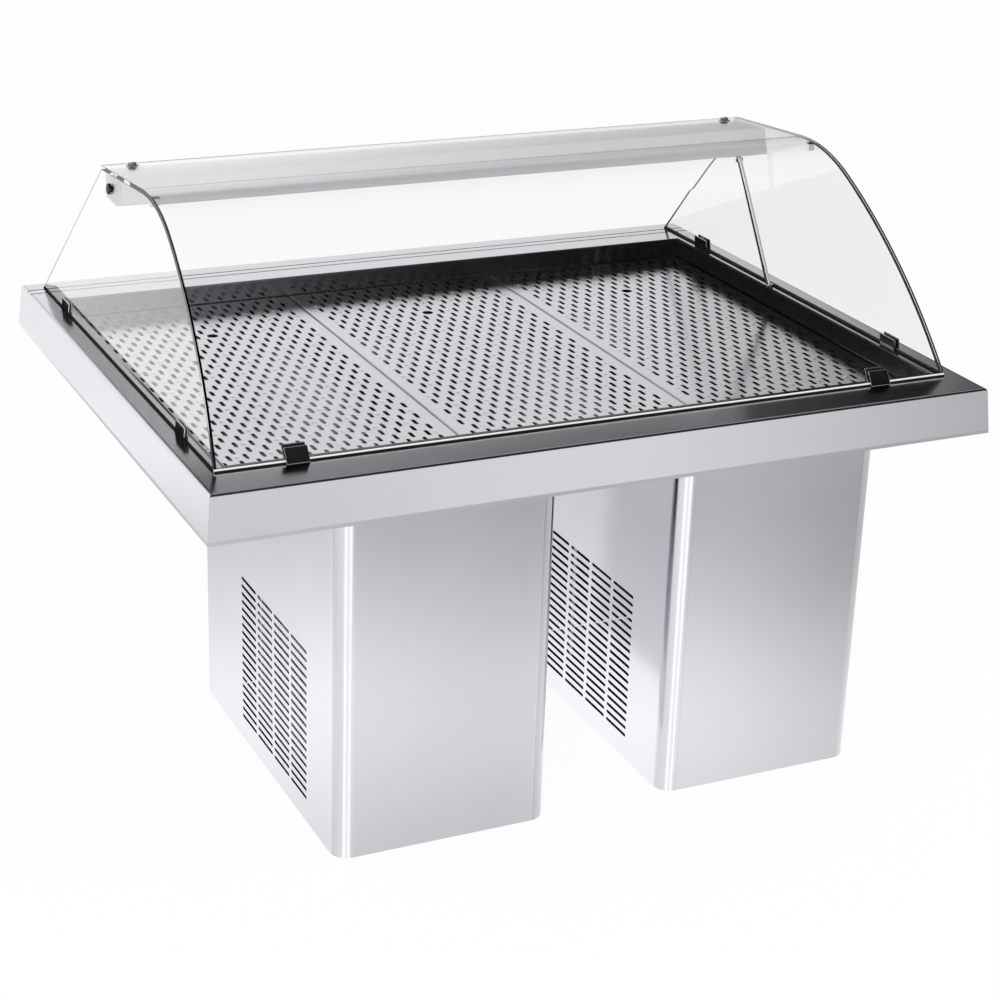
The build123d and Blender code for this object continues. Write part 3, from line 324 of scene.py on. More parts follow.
rearGrooves = (0.532, 0.555)  # where the rim's two grooves lie
finishes = {
    "rimSteel": satinSteel("rimSteel", 0, 0.80, (0.14, 0.21), mitred=True, grooves=rearGrooves),
    # the well's steel takes a lower tone than the rim's: painted shade of the well
    "wellShadedSteel": satinSteel("wellShadedSteel", 0, 0.60, (0.10, 0.20), mitred=True),
    "traySteel": satinSteel("traySteel", 1, 0.84, (0.14, 0.24)),
    "pedestalSteel": satinSteel("pedestalSteel", 2, 0.86, (0.11, 0.17), streaks=0.1),
    "canopySteel": satinSteel("canopySteel", 0, 0.86, (0.24, 0.36), metallic=0.4),
    "capWhite": drifted("capWhite", (0.80, 0.81, 0.82), 0.04, (0.28, 0.4)),
    "frontGlass": clearGlass("frontGlass", 1.32, footHighlight=True),
    "leftGlass": clearGlass("leftGlass", 1.62),
    "rightGlass": clearGlass("rightGlass", 1.5, thin=True),
    "galvanised": spangled("galvanised", 0.55),
    "blackPlastic": drifted("blackPlastic", (0.012, 0.012, 0.013), 0.3, (0.2, 0.34)),
    "brightChrome": drifted("brightChrome", (0.80, 0.81, 0.83), 0.05, (0.06, 0.14), metallic=1.0, bump=0.01),
    "blackRubber": drifted("blackRubber", (0.012, 0.012, 0.012), 0.3, (0.62, 0.8), bump=0.15),
    "lampDiffuser": drifted("lampDiffuser", (0.86, 0.87, 0.87), 0.03, (0.3, 0.4), glow=0.3),
    "lampTubeGlass": drifted("lampTubeGlass", (0.90, 0.91, 0.91), 0.02, (0.12, 0.2)),
    "holderPlastic": drifted("holderPlastic", (0.76, 0.76, 0.75), 0.04, (0.35, 0.5)),
    "foam": drifted("foam", (0.74, 0.66, 0.44), 0.12, (0.85, 0.95), scale=160.0, bump=0.4),
    "copper": drifted("copper", (0.62, 0.30, 0.17), 0.15, (0.2, 0.36), metallic=1.0),
    "brass": drifted("brass", (0.62, 0.45, 0.18), 0.12, (0.18, 0.32), metallic=1.0),
    "redHandle": drifted("redHandle", (0.42, 0.025, 0.02), 0.15, (0.38, 0.5)),
    "blackPaint": drifted("blackPaint", (0.02, 0.02, 0.022), 0.3, (0.22, 0.36), coat=0.3),
    "fins": finned("fins"),
}
slotFinishes = {
    "brushed_steel": "pedestalSteel", "galvanised_steel": "galvanised", "clear_glass": "leftGlass",
    "black_plastic": "blackPlastic", "bright_chrome": "brightChrome", "black_rubber": "blackRubber",
    "white_diffuser": "lampDiffuser", "lamp_glass": "lampTubeGlass", "white_plastic": "holderPlastic",
    "foam": "foam", "copper": "copper", "brass": "brass", "red_handle": "redHandle",
    "black_paint": "blackPaint", "fin_aluminium": "fins",
}
nodeFinishes = {
    "front_glass": "frontGlass", "side_glass_right": "rightGlass", "top_frame": "rimSteel",
    "well_tub": "wellShadedSteel", "tray_bearers": "wellShadedSteel", "lamp_canopy": "canopySteel",
    "canopy_end_caps": "capWhite",
}


def finishOf(name):
    return nodeFinishes.get(name, slotFinishes[nodeSlots[name]])


for name, node in nodes.items():
    for place in node.material_slots:
        place.material = finishes[finishOf(name)]
print("finishes ready:", len(finishes))


# Making and settling pieces, with angles and distances that they share
making = {
    "sharp": math.radians(32), "bevelFrom": math.radians(40), "bevelSteps": 2, "flat": math.radians(0.5),
    "merge": 0.00001, "near": 0.00002, "cut": 0.000001, "turnSteps": 32,
}


def facesOut(bm):  # whether an open sheet faces away from its own middle
    low = Vector([min(v.co[axis] for v in bm.verts) for axis in range(3)])
    high = Vector([max(v.co[axis] for v in bm.verts) for axis in range(3)])
    middle = (low + high) / 2
    return sum(f.calc_area() * f.normal.dot(f.calc_center_median() - middle) for f in bm.faces) >= 0


def settle(name, bm, body, finish, swaps, wall=0.0, edge=0.0):
    bmesh.ops.remove_doubles(bm, verts=bm.verts, dist=making["merge"])
    bmesh.ops.recalc_face_normals(bm, faces=bm.faces)
    if wall and not facesOut(bm):
        bmesh.ops.reverse_faces(bm, faces=bm.faces)
    mesh = bpy.data.meshes.new(name)
    bm.to_mesh(mesh)
    bm.free()
    piece = bpy.data.objects.new(name, mesh)
    scene.collection.objects.link(piece)
    if wall:
        sheet = piece.modifiers.new("wall", "SOLIDIFY")
        sheet.thickness, sheet.offset, sheet.use_even_offset = wall, -1, True
    if edge:
        rounding = piece.modifiers.new("edge", "BEVEL")
        rounding.width, rounding.segments = edge, making["bevelSteps"]
        rounding.limit_method, rounding.angle_limit = "ANGLE", making["bevelFrom"]
    if wall or edge:
        bpy.context.view_layer.update()
        shaped = piece.evaluated_get(bpy.context.evaluated_depsgraph_get())
        finished = bpy.data.meshes.new_from_object(shaped)
        finished.name = name
        piece.modifiers.clear()
        piece.data = finished
        bpy.data.meshes.remove(mesh)
        mesh = finished
    mesh.polygons.foreach_set("use_smooth", [True] * len(mesh.polygons))
    mesh.set_sharp_from_angle(angle=making["sharp"])
    evened = piece.modifiers.new("even", "WEIGHTED_NORMAL")
    evened.keep_sharp = True
    mesh.materials.clear()
    mesh.materials.append(finishes[finish])
    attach(piece, body)
    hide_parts(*swaps)


def only(geom, kind):
    return [g for g in geom if isinstance(g, kind)]


def newVerts(made):
    return only(made["geom"], bmesh.types.BMVert)


def newEdges(made):
    verts = set(newVerts(made))
    edges = only(made["geom"], bmesh.types.BMEdge)
    return [e for e in edges if e.verts[0] in verts and e.verts[1] in verts]


def placed(place, size):  # sizes a unit shape and puts it in its place
    return Matrix.Translation(place) @ Matrix.Diagonal((*size, 1))


def bend(radius, start, end, steps):  # (outwards, down) moves round a fold, angles in degrees
    turns = [math.radians(start + (end - start) * step / steps) for step in range(steps + 1)]
    return [(radius * (math.sin(b) - math.sin(a)), radius * (math.cos(a) - math.cos(b)))
            for a, b in zip(turns, turns[1:])]


def sweepRing(bm, edges, half, middle, moves):  # carries a rectangular ring of edges along a fold
    half = list(half)
    for outwards, down in moves:
        made = bmesh.ops.extrude_edge_only(bm, edges=edges)
        for vert in newVerts(made):
            for axis in (0, 1):
                offset = vert.co[axis] - middle[axis]
                if abs(abs(offset) - half[axis]) < making["near"]:
                    vert.co[axis] += math.copysign(outwards, offset)
            vert.co.z -= down
        edges = newEdges(made)
        half = [half[0] + outwards, half[1] + outwards]


def cutAcross(bm, axis, place, faces=None, keepAbove=False):
    geom = list(bm.verts) + list(bm.edges) + list(bm.faces)
    if faces is not None:
        geom = faces + list({e for f in faces for e in f.edges}) + list({v for f in faces for v in f.verts})
    point, normal = Vector((0, 0, 0)), Vector((0, 0, 0))
    point[axis], normal[axis] = place, 1.0
    return bmesh.ops.bisect_plane(bm, geom=geom, dist=making["cut"], plane_co=point, plane_no=normal,
                                  clear_inner=keepAbove)


def roundedSlots(bm, faces, thickness, corner, length=0.0):
    bmesh.ops.inset_individual(bm, faces=faces, thickness=thickness, use_even_offset=True)
    if length:
        for face in faces:
            middle = face.calc_center_median().y
            for vert in face.verts:
                vert.co.y = middle + math.copysign(length / 2, vert.co.y - middle)
    corners = [v for f in faces for v in f.verts]
    bmesh.ops.bevel(bm, geom=corners, offset=corner, offset_type="OFFSET", segments=2, profile=0.5,
                    affect="VERTICES", material=-1)
    holes = [f for f in bm.faces if len(f.verts) == 12]  # four corners of three points each
    bmesh.ops.delete(bm, geom=holes, context="FACES")


def lathe(bm, profile, base, direction):  # turns (radius, height) points about an axis
    before = set(bm.verts)
    line = [bm.verts.new((radius, 0, height)) for radius, height in profile]
    edges = [bm.edges.new(pair) for pair in zip(line, line[1:])]
    bmesh.ops.spin(bm, geom=line + edges, cent=(0, 0, 0), axis=(0, 0, 1), angle=2 * math.pi,
                   steps=making["turnSteps"], use_merge=True)
    fresh = [v for v in bm.verts if v not in before]
    turn = Vector((0, 0, 1)).rotation_difference(Vector(direction)).to_matrix().to_4x4()
    bmesh.ops.transform(bm, matrix=Matrix.Translation(base) @ turn, verts=fresh)


def softened(name, width, lower=0.0):  # a node's own shape with its edges eased
    bm = bmesh.new()
    bm.from_mesh(nodes[name].data)
    bmesh.ops.remove_doubles(bm, verts=bm.verts, dist=making["near"])
    bmesh.ops.dissolve_limit(bm, angle_limit=making["flat"], verts=bm.verts, edges=bm.edges)
    foot = min(v.co.z for v in bm.verts)
    for vert in bm.verts:
        if vert.co.z < foot + making["merge"]:
            vert.co.z -= lower
    crisp = [e for e in bm.edges if len(e.link_faces) == 2 and e.calc_face_angle(0) > making["sharp"]]
    bmesh.ops.bevel(bm, geom=crisp, offset=width, offset_type="OFFSET", segments=making["bevelSteps"],
                    profile=0.5, affect="EDGES", clamp_overlap=True, material=-1)
    settle(name + "_eased", bm, nodes[name]["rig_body"], finishOf(name), [name])


# Rim and skirt: one folded sheet with the well cut through it and two grooves along the rear
rim = {
    "half": (0.750, 0.600), "top": 0.730, "foot": 0.644, "flare": 0.008, "sheet": 0.002,
    "fold": 0.007, "foldSteps": 8, "hem": 0.0093,
    "wellHalf": (0.686, 0.479), "wellMiddle": (0.0, -0.009),
    "lip": 0.0118, "lipFold": 0.002, "lipSteps": 4,
    "grooveHalf": 0.002, "grooveFloor": 0.0013, "grooveDepth": 0.0012,
}


def buildRim():
    bm = bmesh.new()
    slope = math.atan2(rim["flare"], rim["top"] - rim["foot"])
    topTurn, footTurn = 90 - math.degrees(slope), 90 + math.degrees(slope)
    inset = rim["fold"] * math.tan(math.radians(topTurn / 2))
    flat = [half - inset for half in rim["half"]]
    bmesh.ops.create_grid(bm, x_segments=1, y_segments=1, size=1.0,
                          matrix=placed((0, 0, rim["top"]), (*flat, 1)))
    lipHalf = [half + rim["lipFold"] for half in rim["wellHalf"]]
    for axis in (0, 1):
        for side in (-1, 1):
            cutAcross(bm, axis, rim["wellMiddle"][axis] + side * lipHalf[axis])
    for groove in rearGrooves:
        for shift in (-rim["grooveHalf"], -rim["grooveFloor"], rim["grooveFloor"], rim["grooveHalf"]):
            cutAcross(bm, 1, groove + shift)
    for side in (-1, 1):
        cutAcross(bm, 0, side * (flat[0] - rim["sheet"]))
    for vert in bm.verts:  # the grooves stop short of the folds
        onFloor = any(abs(abs(vert.co.y - g) - rim["grooveFloor"]) < making["merge"] for g in rearGrooves)
        if onFloor and abs(vert.co.x) < flat[0] - rim["sheet"] / 2:
            vert.co.z -= rim["grooveDepth"]
    opening = [f for f in bm.faces if all(
        abs(f.calc_center_median()[axis] - rim["wellMiddle"][axis]) < lipHalf[axis] for axis in (0, 1))]
    bmesh.ops.delete(bm, geom=opening, context="FACES")
    outer, inner = [], []
    for edge in bm.edges:
        if edge.is_boundary:
            middle = (edge.verts[0].co + edge.verts[1].co) / 2
            onEdge = any(abs(abs(middle[axis]) - flat[axis]) < making["merge"] for axis in (0, 1))
            (outer if onEdge else inner).append(edge)
    footTangent = rim["fold"] * math.tan(math.radians(footTurn / 2))
    skirt = (rim["top"] - rim["foot"]) / math.cos(slope) - inset - footTangent
    moves = bend(rim["fold"], 0, topTurn, rim["foldSteps"])
    moves += [(skirt * math.sin(slope), skirt * math.cos(slope))]
    moves += bend(rim["fold"], topTurn, 180, rim["foldSteps"]) + [(-rim["hem"], 0)]
    sweepRing(bm, outer, flat, (0, 0), moves)
    lipMoves = [(-grow, drop) for grow, drop in bend(rim["lipFold"], 0, 90, rim["lipSteps"])]
    sweepRing(bm, inner, lipHalf, rim["wellMiddle"], lipMoves + [(0, rim["lip"])])
    settle("counter_rim", bm, "counter", "rimSteel", ["top_frame"], wall=rim["sheet"])


buildRim()
print("rim folded")


# Trays: a plate of staggered slots with small pips between them, a finger hole and turned-down edges
tray = {
    "centres": {"tray_left": -0.4575, "tray_centre": 0.0, "tray_right": 0.4575}, "middle": -0.009,
    "top": 0.692, "half": (0.228, 0.478), "fold": 0.0025, "foldSteps": 4, "depth": 0.015, "sheet": 0.0015,
    "columns": 29, "rows": 32, "cell": (0.01525, 0.029), "shift": 0.0035,
    "slotInset": 0.0039, "slotLength": 0.0256, "slotCorner": 0.0034,
    "pip": 0.0044, "pipRise": 0.0005, "pipSlope": 0.4,
    "fingerRow": 25, "fingerRadius": 0.011, "fingerInset": 0.0025,
}


def trayCell(face):  # column counted from the middle, row from the front
    centre = face.calc_center_median()
    column = round(centre.x / tray["cell"][0])
    row = round((centre.y - tray["middle"] - tray["shift"]) / tray["cell"][1] + (tray["rows"] - 1) / 2)
    return column, row


def buildTray():
    bm = bmesh.new()
    size = (tray["columns"] * tray["cell"][0] / 2, tray["rows"] * tray["cell"][1] / 2)
    middle, gridMiddle = (0.0, tray["middle"]), (0.0, tray["middle"] + tray["shift"])
    bmesh.ops.create_grid(bm, x_segments=tray["columns"], y_segments=tray["rows"], size=1.0,
                          matrix=placed((*gridMiddle, tray["top"]), (*size, 1)))
    cells = {trayCell(face): face for face in bm.faces}
    flat = [half - tray["fold"] for half in tray["half"]]
    made = bmesh.ops.extrude_edge_only(bm, edges=[e for e in bm.edges if e.is_boundary])
    for vert in newVerts(made):  # out to the start of the fold
        for axis in (0, 1):
            offset = vert.co[axis] - gridMiddle[axis]
            if abs(abs(offset) - size[axis]) < making["near"]:
                vert.co[axis] = middle[axis] + math.copysign(flat[axis], offset)
    moves = bend(tray["fold"], 0, 90, tray["foldSteps"]) + [(0, tray["depth"] - tray["fold"])]
    sweepRing(bm, newEdges(made), flat, middle, moves)
    finger = [cells[column, tray["fingerRow"]] for column in (-1, 0, 1)]
    slots, pips = [], []
    for (column, row), face in cells.items():
        if face in finger or abs(column) == tray["columns"] // 2:  # the outer columns stay plain
            continue
        if (column + row) % 2 == 1:  # every other cell is slotted
            slots.append(face)
        elif row % 2 == 1 and (column + row) % 4 == 0:  # a quarter of the rest get a pip
            pips.append(face)
    hole = bmesh.ops.dissolve_faces(bm, faces=finger)["region"][0]
    bmesh.ops.inset_individual(bm, faces=[hole], thickness=tray["fingerInset"], use_even_offset=True)
    bmesh.ops.subdivide_edges(bm, edges=list(hole.edges), cuts=2)
    centre = Vector((0, hole.calc_center_median().y, tray["top"]))
    for vert in hole.verts:
        vert.co = centre + (vert.co - centre).normalized() * tray["fingerRadius"]
    bmesh.ops.delete(bm, geom=[hole], context="FACES")
    bmesh.ops.inset_individual(bm, faces=pips, thickness=tray["slotInset"], use_even_offset=True)
    for face in pips:
        centre = face.calc_center_median()
        for vert in face.verts:
            vert.co.x = centre.x + math.copysign(tray["pip"], vert.co.x - centre.x)
            vert.co.y = centre.y + math.copysign(tray["pip"], vert.co.y - centre.y)
    bmesh.ops.inset_individual(bm, faces=pips, thickness=tray["pip"] * tray["pipSlope"],
                               depth=tray["pipRise"], use_even_offset=True)
    roundedSlots(bm, slots, tray["slotInset"], tray["slotCorner"], tray["slotLength"])
    return bm


for name, centre in tray["centres"].items():
    plate = buildTray()
    bmesh.ops.translate(plate, vec=(centre, 0, 0), verts=plate.verts)
    settle(name + "_plate", plate, name, "traySteel", [name], wall=tray["sheet"])
print("trays punched")


# Pedestals: a bent wrap, cut back under the pan, with louvres in its left side
pedestal = {
    "sides": {"pedestal_shell_left": -1, "pedestal_shell_right": 1}, "inner": 0.118, "outer": 0.527,
    "front": -0.588, "back": 0.112, "foot": 0.004, "top": 0.650, "sheet": 0.0015,
    "radius": 0.032, "radiusSteps": 10, "return": 0.022, "returnFold": 0.003, "returnSteps": 3,
    "notch": (0.6116, -0.5156),
    "louvreFront": -0.4465, "louvreFoot": 0.044, "pitch": (0.089, 0.016), "columns": 4, "rows": 19,
    "slotInset": 0.0047, "slotCorner": 0.0030,
}


def buildPedestal(name, side):
    bm = bmesh.new()
    left, right = sorted((side * pedestal["inner"], side * pedestal["outer"]))
    front, back, lip = pedestal["front"], pedestal["back"], pedestal["return"]
    plan = [(left + lip, back), (left, back), (left, front),
            (right, front), (right, back), (right - lip, back)]
    line = [bm.verts.new((x, y, pedestal["foot"])) for x, y in plan]
    for pair in zip(line, line[1:]):
        bm.edges.new(pair)
    for corners, radius, steps in ((line[2:4], pedestal["radius"], pedestal["radiusSteps"]),
                                   ([line[1], line[4]], pedestal["returnFold"], pedestal["returnSteps"])):
        bmesh.ops.bevel(bm, geom=corners, offset=radius, offset_type="OFFSET", segments=steps,
                        profile=0.5, affect="VERTICES", material=-1)
    made = bmesh.ops.extrude_edge_only(bm, edges=list(bm.edges))
    bmesh.ops.translate(bm, vec=(0, 0, pedestal["top"] - pedestal["foot"]), verts=newVerts(made))
    notchFoot, notchFront = pedestal["notch"]
    cutAcross(bm, 2, notchFoot)
    cutAcross(bm, 1, notchFront)
    above = [f for f in bm.faces
             if f.calc_center_median().z > notchFoot and f.calc_center_median().y > notchFront]
    bmesh.ops.delete(bm, geom=above, context="FACES")
    pitchY, pitchZ = pedestal["pitch"]
    lowY, lowZ = pedestal["louvreFront"], pedestal["louvreFoot"]
    highY, highZ = lowY + pedestal["columns"] * pitchY, lowZ + pedestal["rows"] * pitchZ

    def leftSide():
        return [f for f in bm.faces if abs(f.calc_center_median().x - left) < making["near"]]

    def louvred():
        return [f for f in leftSide() if lowY < f.calc_center_median().y < highY]

    for column in range(pedestal["columns"] + 1):
        cutAcross(bm, 1, lowY + column * pitchY, leftSide())
    for row in range(pedestal["rows"] + 1):
        cutAcross(bm, 2, lowZ + row * pitchZ, louvred())
    slots = [f for f in louvred() if lowZ < f.calc_center_median().z < highZ]
    bm.normal_update()
    roundedSlots(bm, slots, pedestal["slotInset"], pedestal["slotCorner"])
    settle(name + "_wrap", bm, "counter", "pedestalSteel", [name], wall=pedestal["sheet"])


for name, side in pedestal["sides"].items():
    buildPedestal(name, side)
print("pedestals wrapped")


# Glass: one profile of a top strip, a knee and a long front arc; the side panes follow its inside
glass = {
    "foot": 0.714, "rim": 0.730, "lean": math.radians(6), "seal": 0.733,
    "backTop": (0.233, 1.059), "strip": 0.250, "rise": math.radians(4.15),
    "kneeRadius": 0.300, "kneeTurn": math.radians(34), "kneeSteps": 24,
    "frontRadius": 0.980, "frontTurn": math.radians(27.5), "frontSteps": 36,
    "front": 0.008, "side": 0.006, "arris": 0.0007, "paneInset": 0.001, "follow": 0.0084, "backFoot": 0.565,
}


def inwards(turned):  # (y, z) across the line towards the inside, after it has turned
    angle = glass["rise"] - turned
    return Vector((0, -math.sin(angle), -math.cos(angle)))


def glassLine(bm, inset):
    start = bm.verts.new(Vector((0, *glass["backTop"])) + inwards(0) * inset)
    last = bmesh.ops.extrude_vert_indiv(bm, verts=[start])["verts"][0]
    last.co += Vector((0, -math.cos(glass["rise"]), math.sin(glass["rise"]))) * glass["strip"]
    turned = 0.0
    for radius, turn, steps in ((glass["kneeRadius"], glass["kneeTurn"], glass["kneeSteps"]),
                                (glass["frontRadius"], glass["frontTurn"], glass["frontSteps"])):
        centre = last.co + inwards(turned) * (radius - inset)
        made = bmesh.ops.spin(bm, geom=[last], cent=centre, axis=(1, 0, 0), angle=turn, steps=steps)
        last = only(made["geom_last"], bmesh.types.BMVert)[0]
        turned += turn
    return last


def paneHalf(height):  # how far out the leaning ends are at a height
    return glass["foot"] - (height - glass["rim"]) * math.tan(glass["lean"])


def buildFrontGlass():
    bm = bmesh.new()
    glassLine(bm, 0.0)
    made = bmesh.ops.extrude_edge_only(bm, edges=list(bm.edges))
    fresh = set(newVerts(made))
    for vert in bm.verts:
        vert.co.x = paneHalf(vert.co.z) * (1 if vert in fresh else -1)
    cutAcross(bm, 2, glass["seal"], keepAbove=True)
    settle("front_glass_pane", bm, "counter", "frontGlass", ["front_glass"], wall=glass["front"],
           edge=glass["arris"])


def buildSideGlass(name, side, finish):
    bm = bmesh.new()
    foot = glassLine(bm, glass["follow"])
    start = max(bm.verts, key=lambda v: v.co.y)
    corner = bm.verts.new((0, glass["backFoot"], glass["seal"]))
    bm.edges.new((start, corner))
    bm.edges.new((corner, foot))
    bmesh.ops.contextual_create(bm, geom=list(bm.edges))
    cutAcross(bm, 2, glass["seal"], keepAbove=True)
    for vert in bm.verts:
        vert.co.x = side * (paneHalf(vert.co.z) - glass["paneInset"] / math.cos(glass["lean"]))
    made = bmesh.ops.extrude_face_region(bm, geom=list(bm.faces))
    shift = Vector((-side * math.cos(glass["lean"]), 0, -math.sin(glass["lean"]))) * glass["side"]
    bmesh.ops.translate(bm, vec=shift, verts=newVerts(made))
    settle(name + "_pane", bm, "counter", finish, [name], edge=glass["arris"])


buildFrontGlass()
buildSideGlass("side_glass_left", -1, "leftGlass")
buildSideGlass("side_glass_right", 1, "rightGlass")
print("glass bent")


# Small fittings keep their node's own shape with eased edges
eased = {
    "front_glass_clips": 0.0011, "left_glass_clips": 0.0011, "right_glass_clips": 0.0011,
    "lamp_canopy": 0.0006, "canopy_end_caps": 0.0006, "corner_clips": 0.0005,
    "service_panel_left": 0.0006, "service_panel_right": 0.0006, "control_box": 0.0015,
    "power_rocker": 0.0008, "light_rocker": 0.0008, "mains_gland": 0.0008,
}
hung = {"service_panel_left": 0.004, "service_panel_right": 0.004}  # the panels reach down to the base
for name, width in eased.items():
    softened(name, width, hung.get(name, 0.0))
print("fittings eased")


# The lamp's bright rod, cut level with the rim, and its two rings
rod = {
    "foot": (0.696, 0.092, 0.7303), "head": (0.640, 0.165, 1.008), "radius": 0.005,
    "footRing": ((0.0052, 0.0), (0.0090, 0.0), (0.0090, 0.0042), (0.0078, 0.0060), (0.0052, 0.0060)),
    "footRingSink": 0.0003,
    "headRing": ((0.0051, 0.0), (0.0072, 0.0), (0.0080, 0.0008), (0.0080, 0.0072), (0.0072, 0.0080),
                 (0.0051, 0.0080)),
    "headRingDrop": 0.022,
}


def buildRod():
    bm = bmesh.new()
    foot, head, radius = Vector(rod["foot"]), Vector(rod["head"]), rod["radius"]
    way = head - foot
    lathe(bm, ((0, -radius), (radius, -radius), (radius, way.length), (0, way.length)), foot, way)
    bmesh.ops.remove_doubles(bm, verts=bm.verts, dist=making["merge"])
    cut = cutAcross(bm, 2, foot.z, keepAbove=True)
    bmesh.ops.contextual_create(bm, geom=only(cut["geom_cut"], bmesh.types.BMEdge))
    settle("lamp_tube_rod", bm, "counter", "brightChrome", ["lamp_conduit"])
    rings = bmesh.new()
    footPlace = foot - Vector((0, 0, rod["footRingSink"]))
    headPlace = head - way.normalized() * rod["headRingDrop"]
    lathe(rings, rod["footRing"] + rod["footRing"][:1], footPlace, (0, 0, 1))
    lathe(rings, rod["headRing"] + rod["headRing"][:1], headPlace, way)
    settle("lamp_tube_rings", rings, "counter", "brightChrome", ["conduit_ferrules"])


# Bolts through the top of the glass and through the side panes, turned in one with their washers and nuts
bolts = {
    "topPlace": (0.628, 0.203),
    "top": ((0, -0.0200), (0.003, -0.0200), (0.003, -0.0164), (0.006, -0.0164), (0.006, -0.0124),
            (0.003, -0.0124), (0.003, -0.0107), (0.007, -0.0107), (0.007, -0.0081), (0.003, -0.0081),
            (0.003, 0), (0.0115, 0), (0.012, 0.0005), (0.012, 0.0015), (0.0113, 0.0021), (0.008, 0.0021),
            (0.008, 0.0050), (0.0065, 0.0066), (0.0045, 0.0071), (0, 0.0072)),
    "endPlace": (0.168, 0.302),
    "end": ((0, -0.0220), (0.003, -0.0220), (0.003, -0.0095), (0.006, -0.0095), (0.006, -0.0061),
            (0.003, -0.0061), (0.003, 0), (0.0095, 0), (0.010, 0.0005), (0.010, 0.0038),
            (0.0085, 0.0054), (0.0055, 0.0061), (0, 0.0062)),
}


def buildBolts():
    rise, lean, depth = glass["rise"], glass["lean"], glass["paneInset"]
    across, along = bolts["topPlace"]
    endAlong, up = bolts["endPlace"]
    backY, backZ = glass["backTop"]
    outAt = glass["foot"] - depth * math.cos(lean) - up * math.sin(lean)
    upAt = glass["rim"] - depth * math.sin(lean) + up * math.cos(lean)
    tops, ends = bmesh.new(), bmesh.new()
    for side in (-1, 1):
        topAt = (side * across, along, backZ + (backY - along) * math.tan(rise))
        lathe(tops, bolts["top"], topAt, (0, math.sin(rise), math.cos(rise)))
        endAt = (side * outAt, endAlong, upAt)
        lathe(ends, bolts["end"], endAt, (side * math.cos(lean), 0, math.sin(lean)))
    settle("canopy_bolts_turned", tops, "counter", "brightChrome", ["canopy_bolts"])
    settle("canopy_end_bolts_turned", ends, "counter", "blackPlastic", ["canopy_end_bolts"])


# Thermostat dial: a turned knob with a raised grip across it
dial = {
    "place": (0.314, 0.487, 0.574),
    "knob": ((0, -0.0120), (0.00395, -0.0120), (0.00395, 0), (0.0190, 0), (0.0200, 0.0010),
             (0.0196, 0.0125), (0.0180, 0.0140), (0, 0.0140)),
    "grip": (0.006, 0.0055, 0.034), "gripEdge": 0.0012, "gripSink": 0.0005,
}


def buildDial():
    bm = bmesh.new()
    place = Vector(dial["place"])
    lathe(bm, dial["knob"], place, (0, 1, 0))
    gripOut = dial["knob"][-1][1] + dial["grip"][1] / 2 - dial["gripSink"]
    made = bmesh.ops.create_cube(bm, size=1.0, matrix=placed(place + Vector((0, gripOut, 0)), dial["grip"]))
    edges = list({e for v in made["verts"] for e in v.link_edges})
    bmesh.ops.bevel(bm, geom=edges, offset=dial["gripEdge"], offset_type="OFFSET",
                    segments=making["bevelSteps"], profile=0.5, affect="EDGES", material=-1)
    settle("thermostat_dial_knob", bm, "thermostat_dial", "blackPlastic", ["thermostat_dial"])


buildRod()
buildBolts()
buildDial()
print("fittings turned")


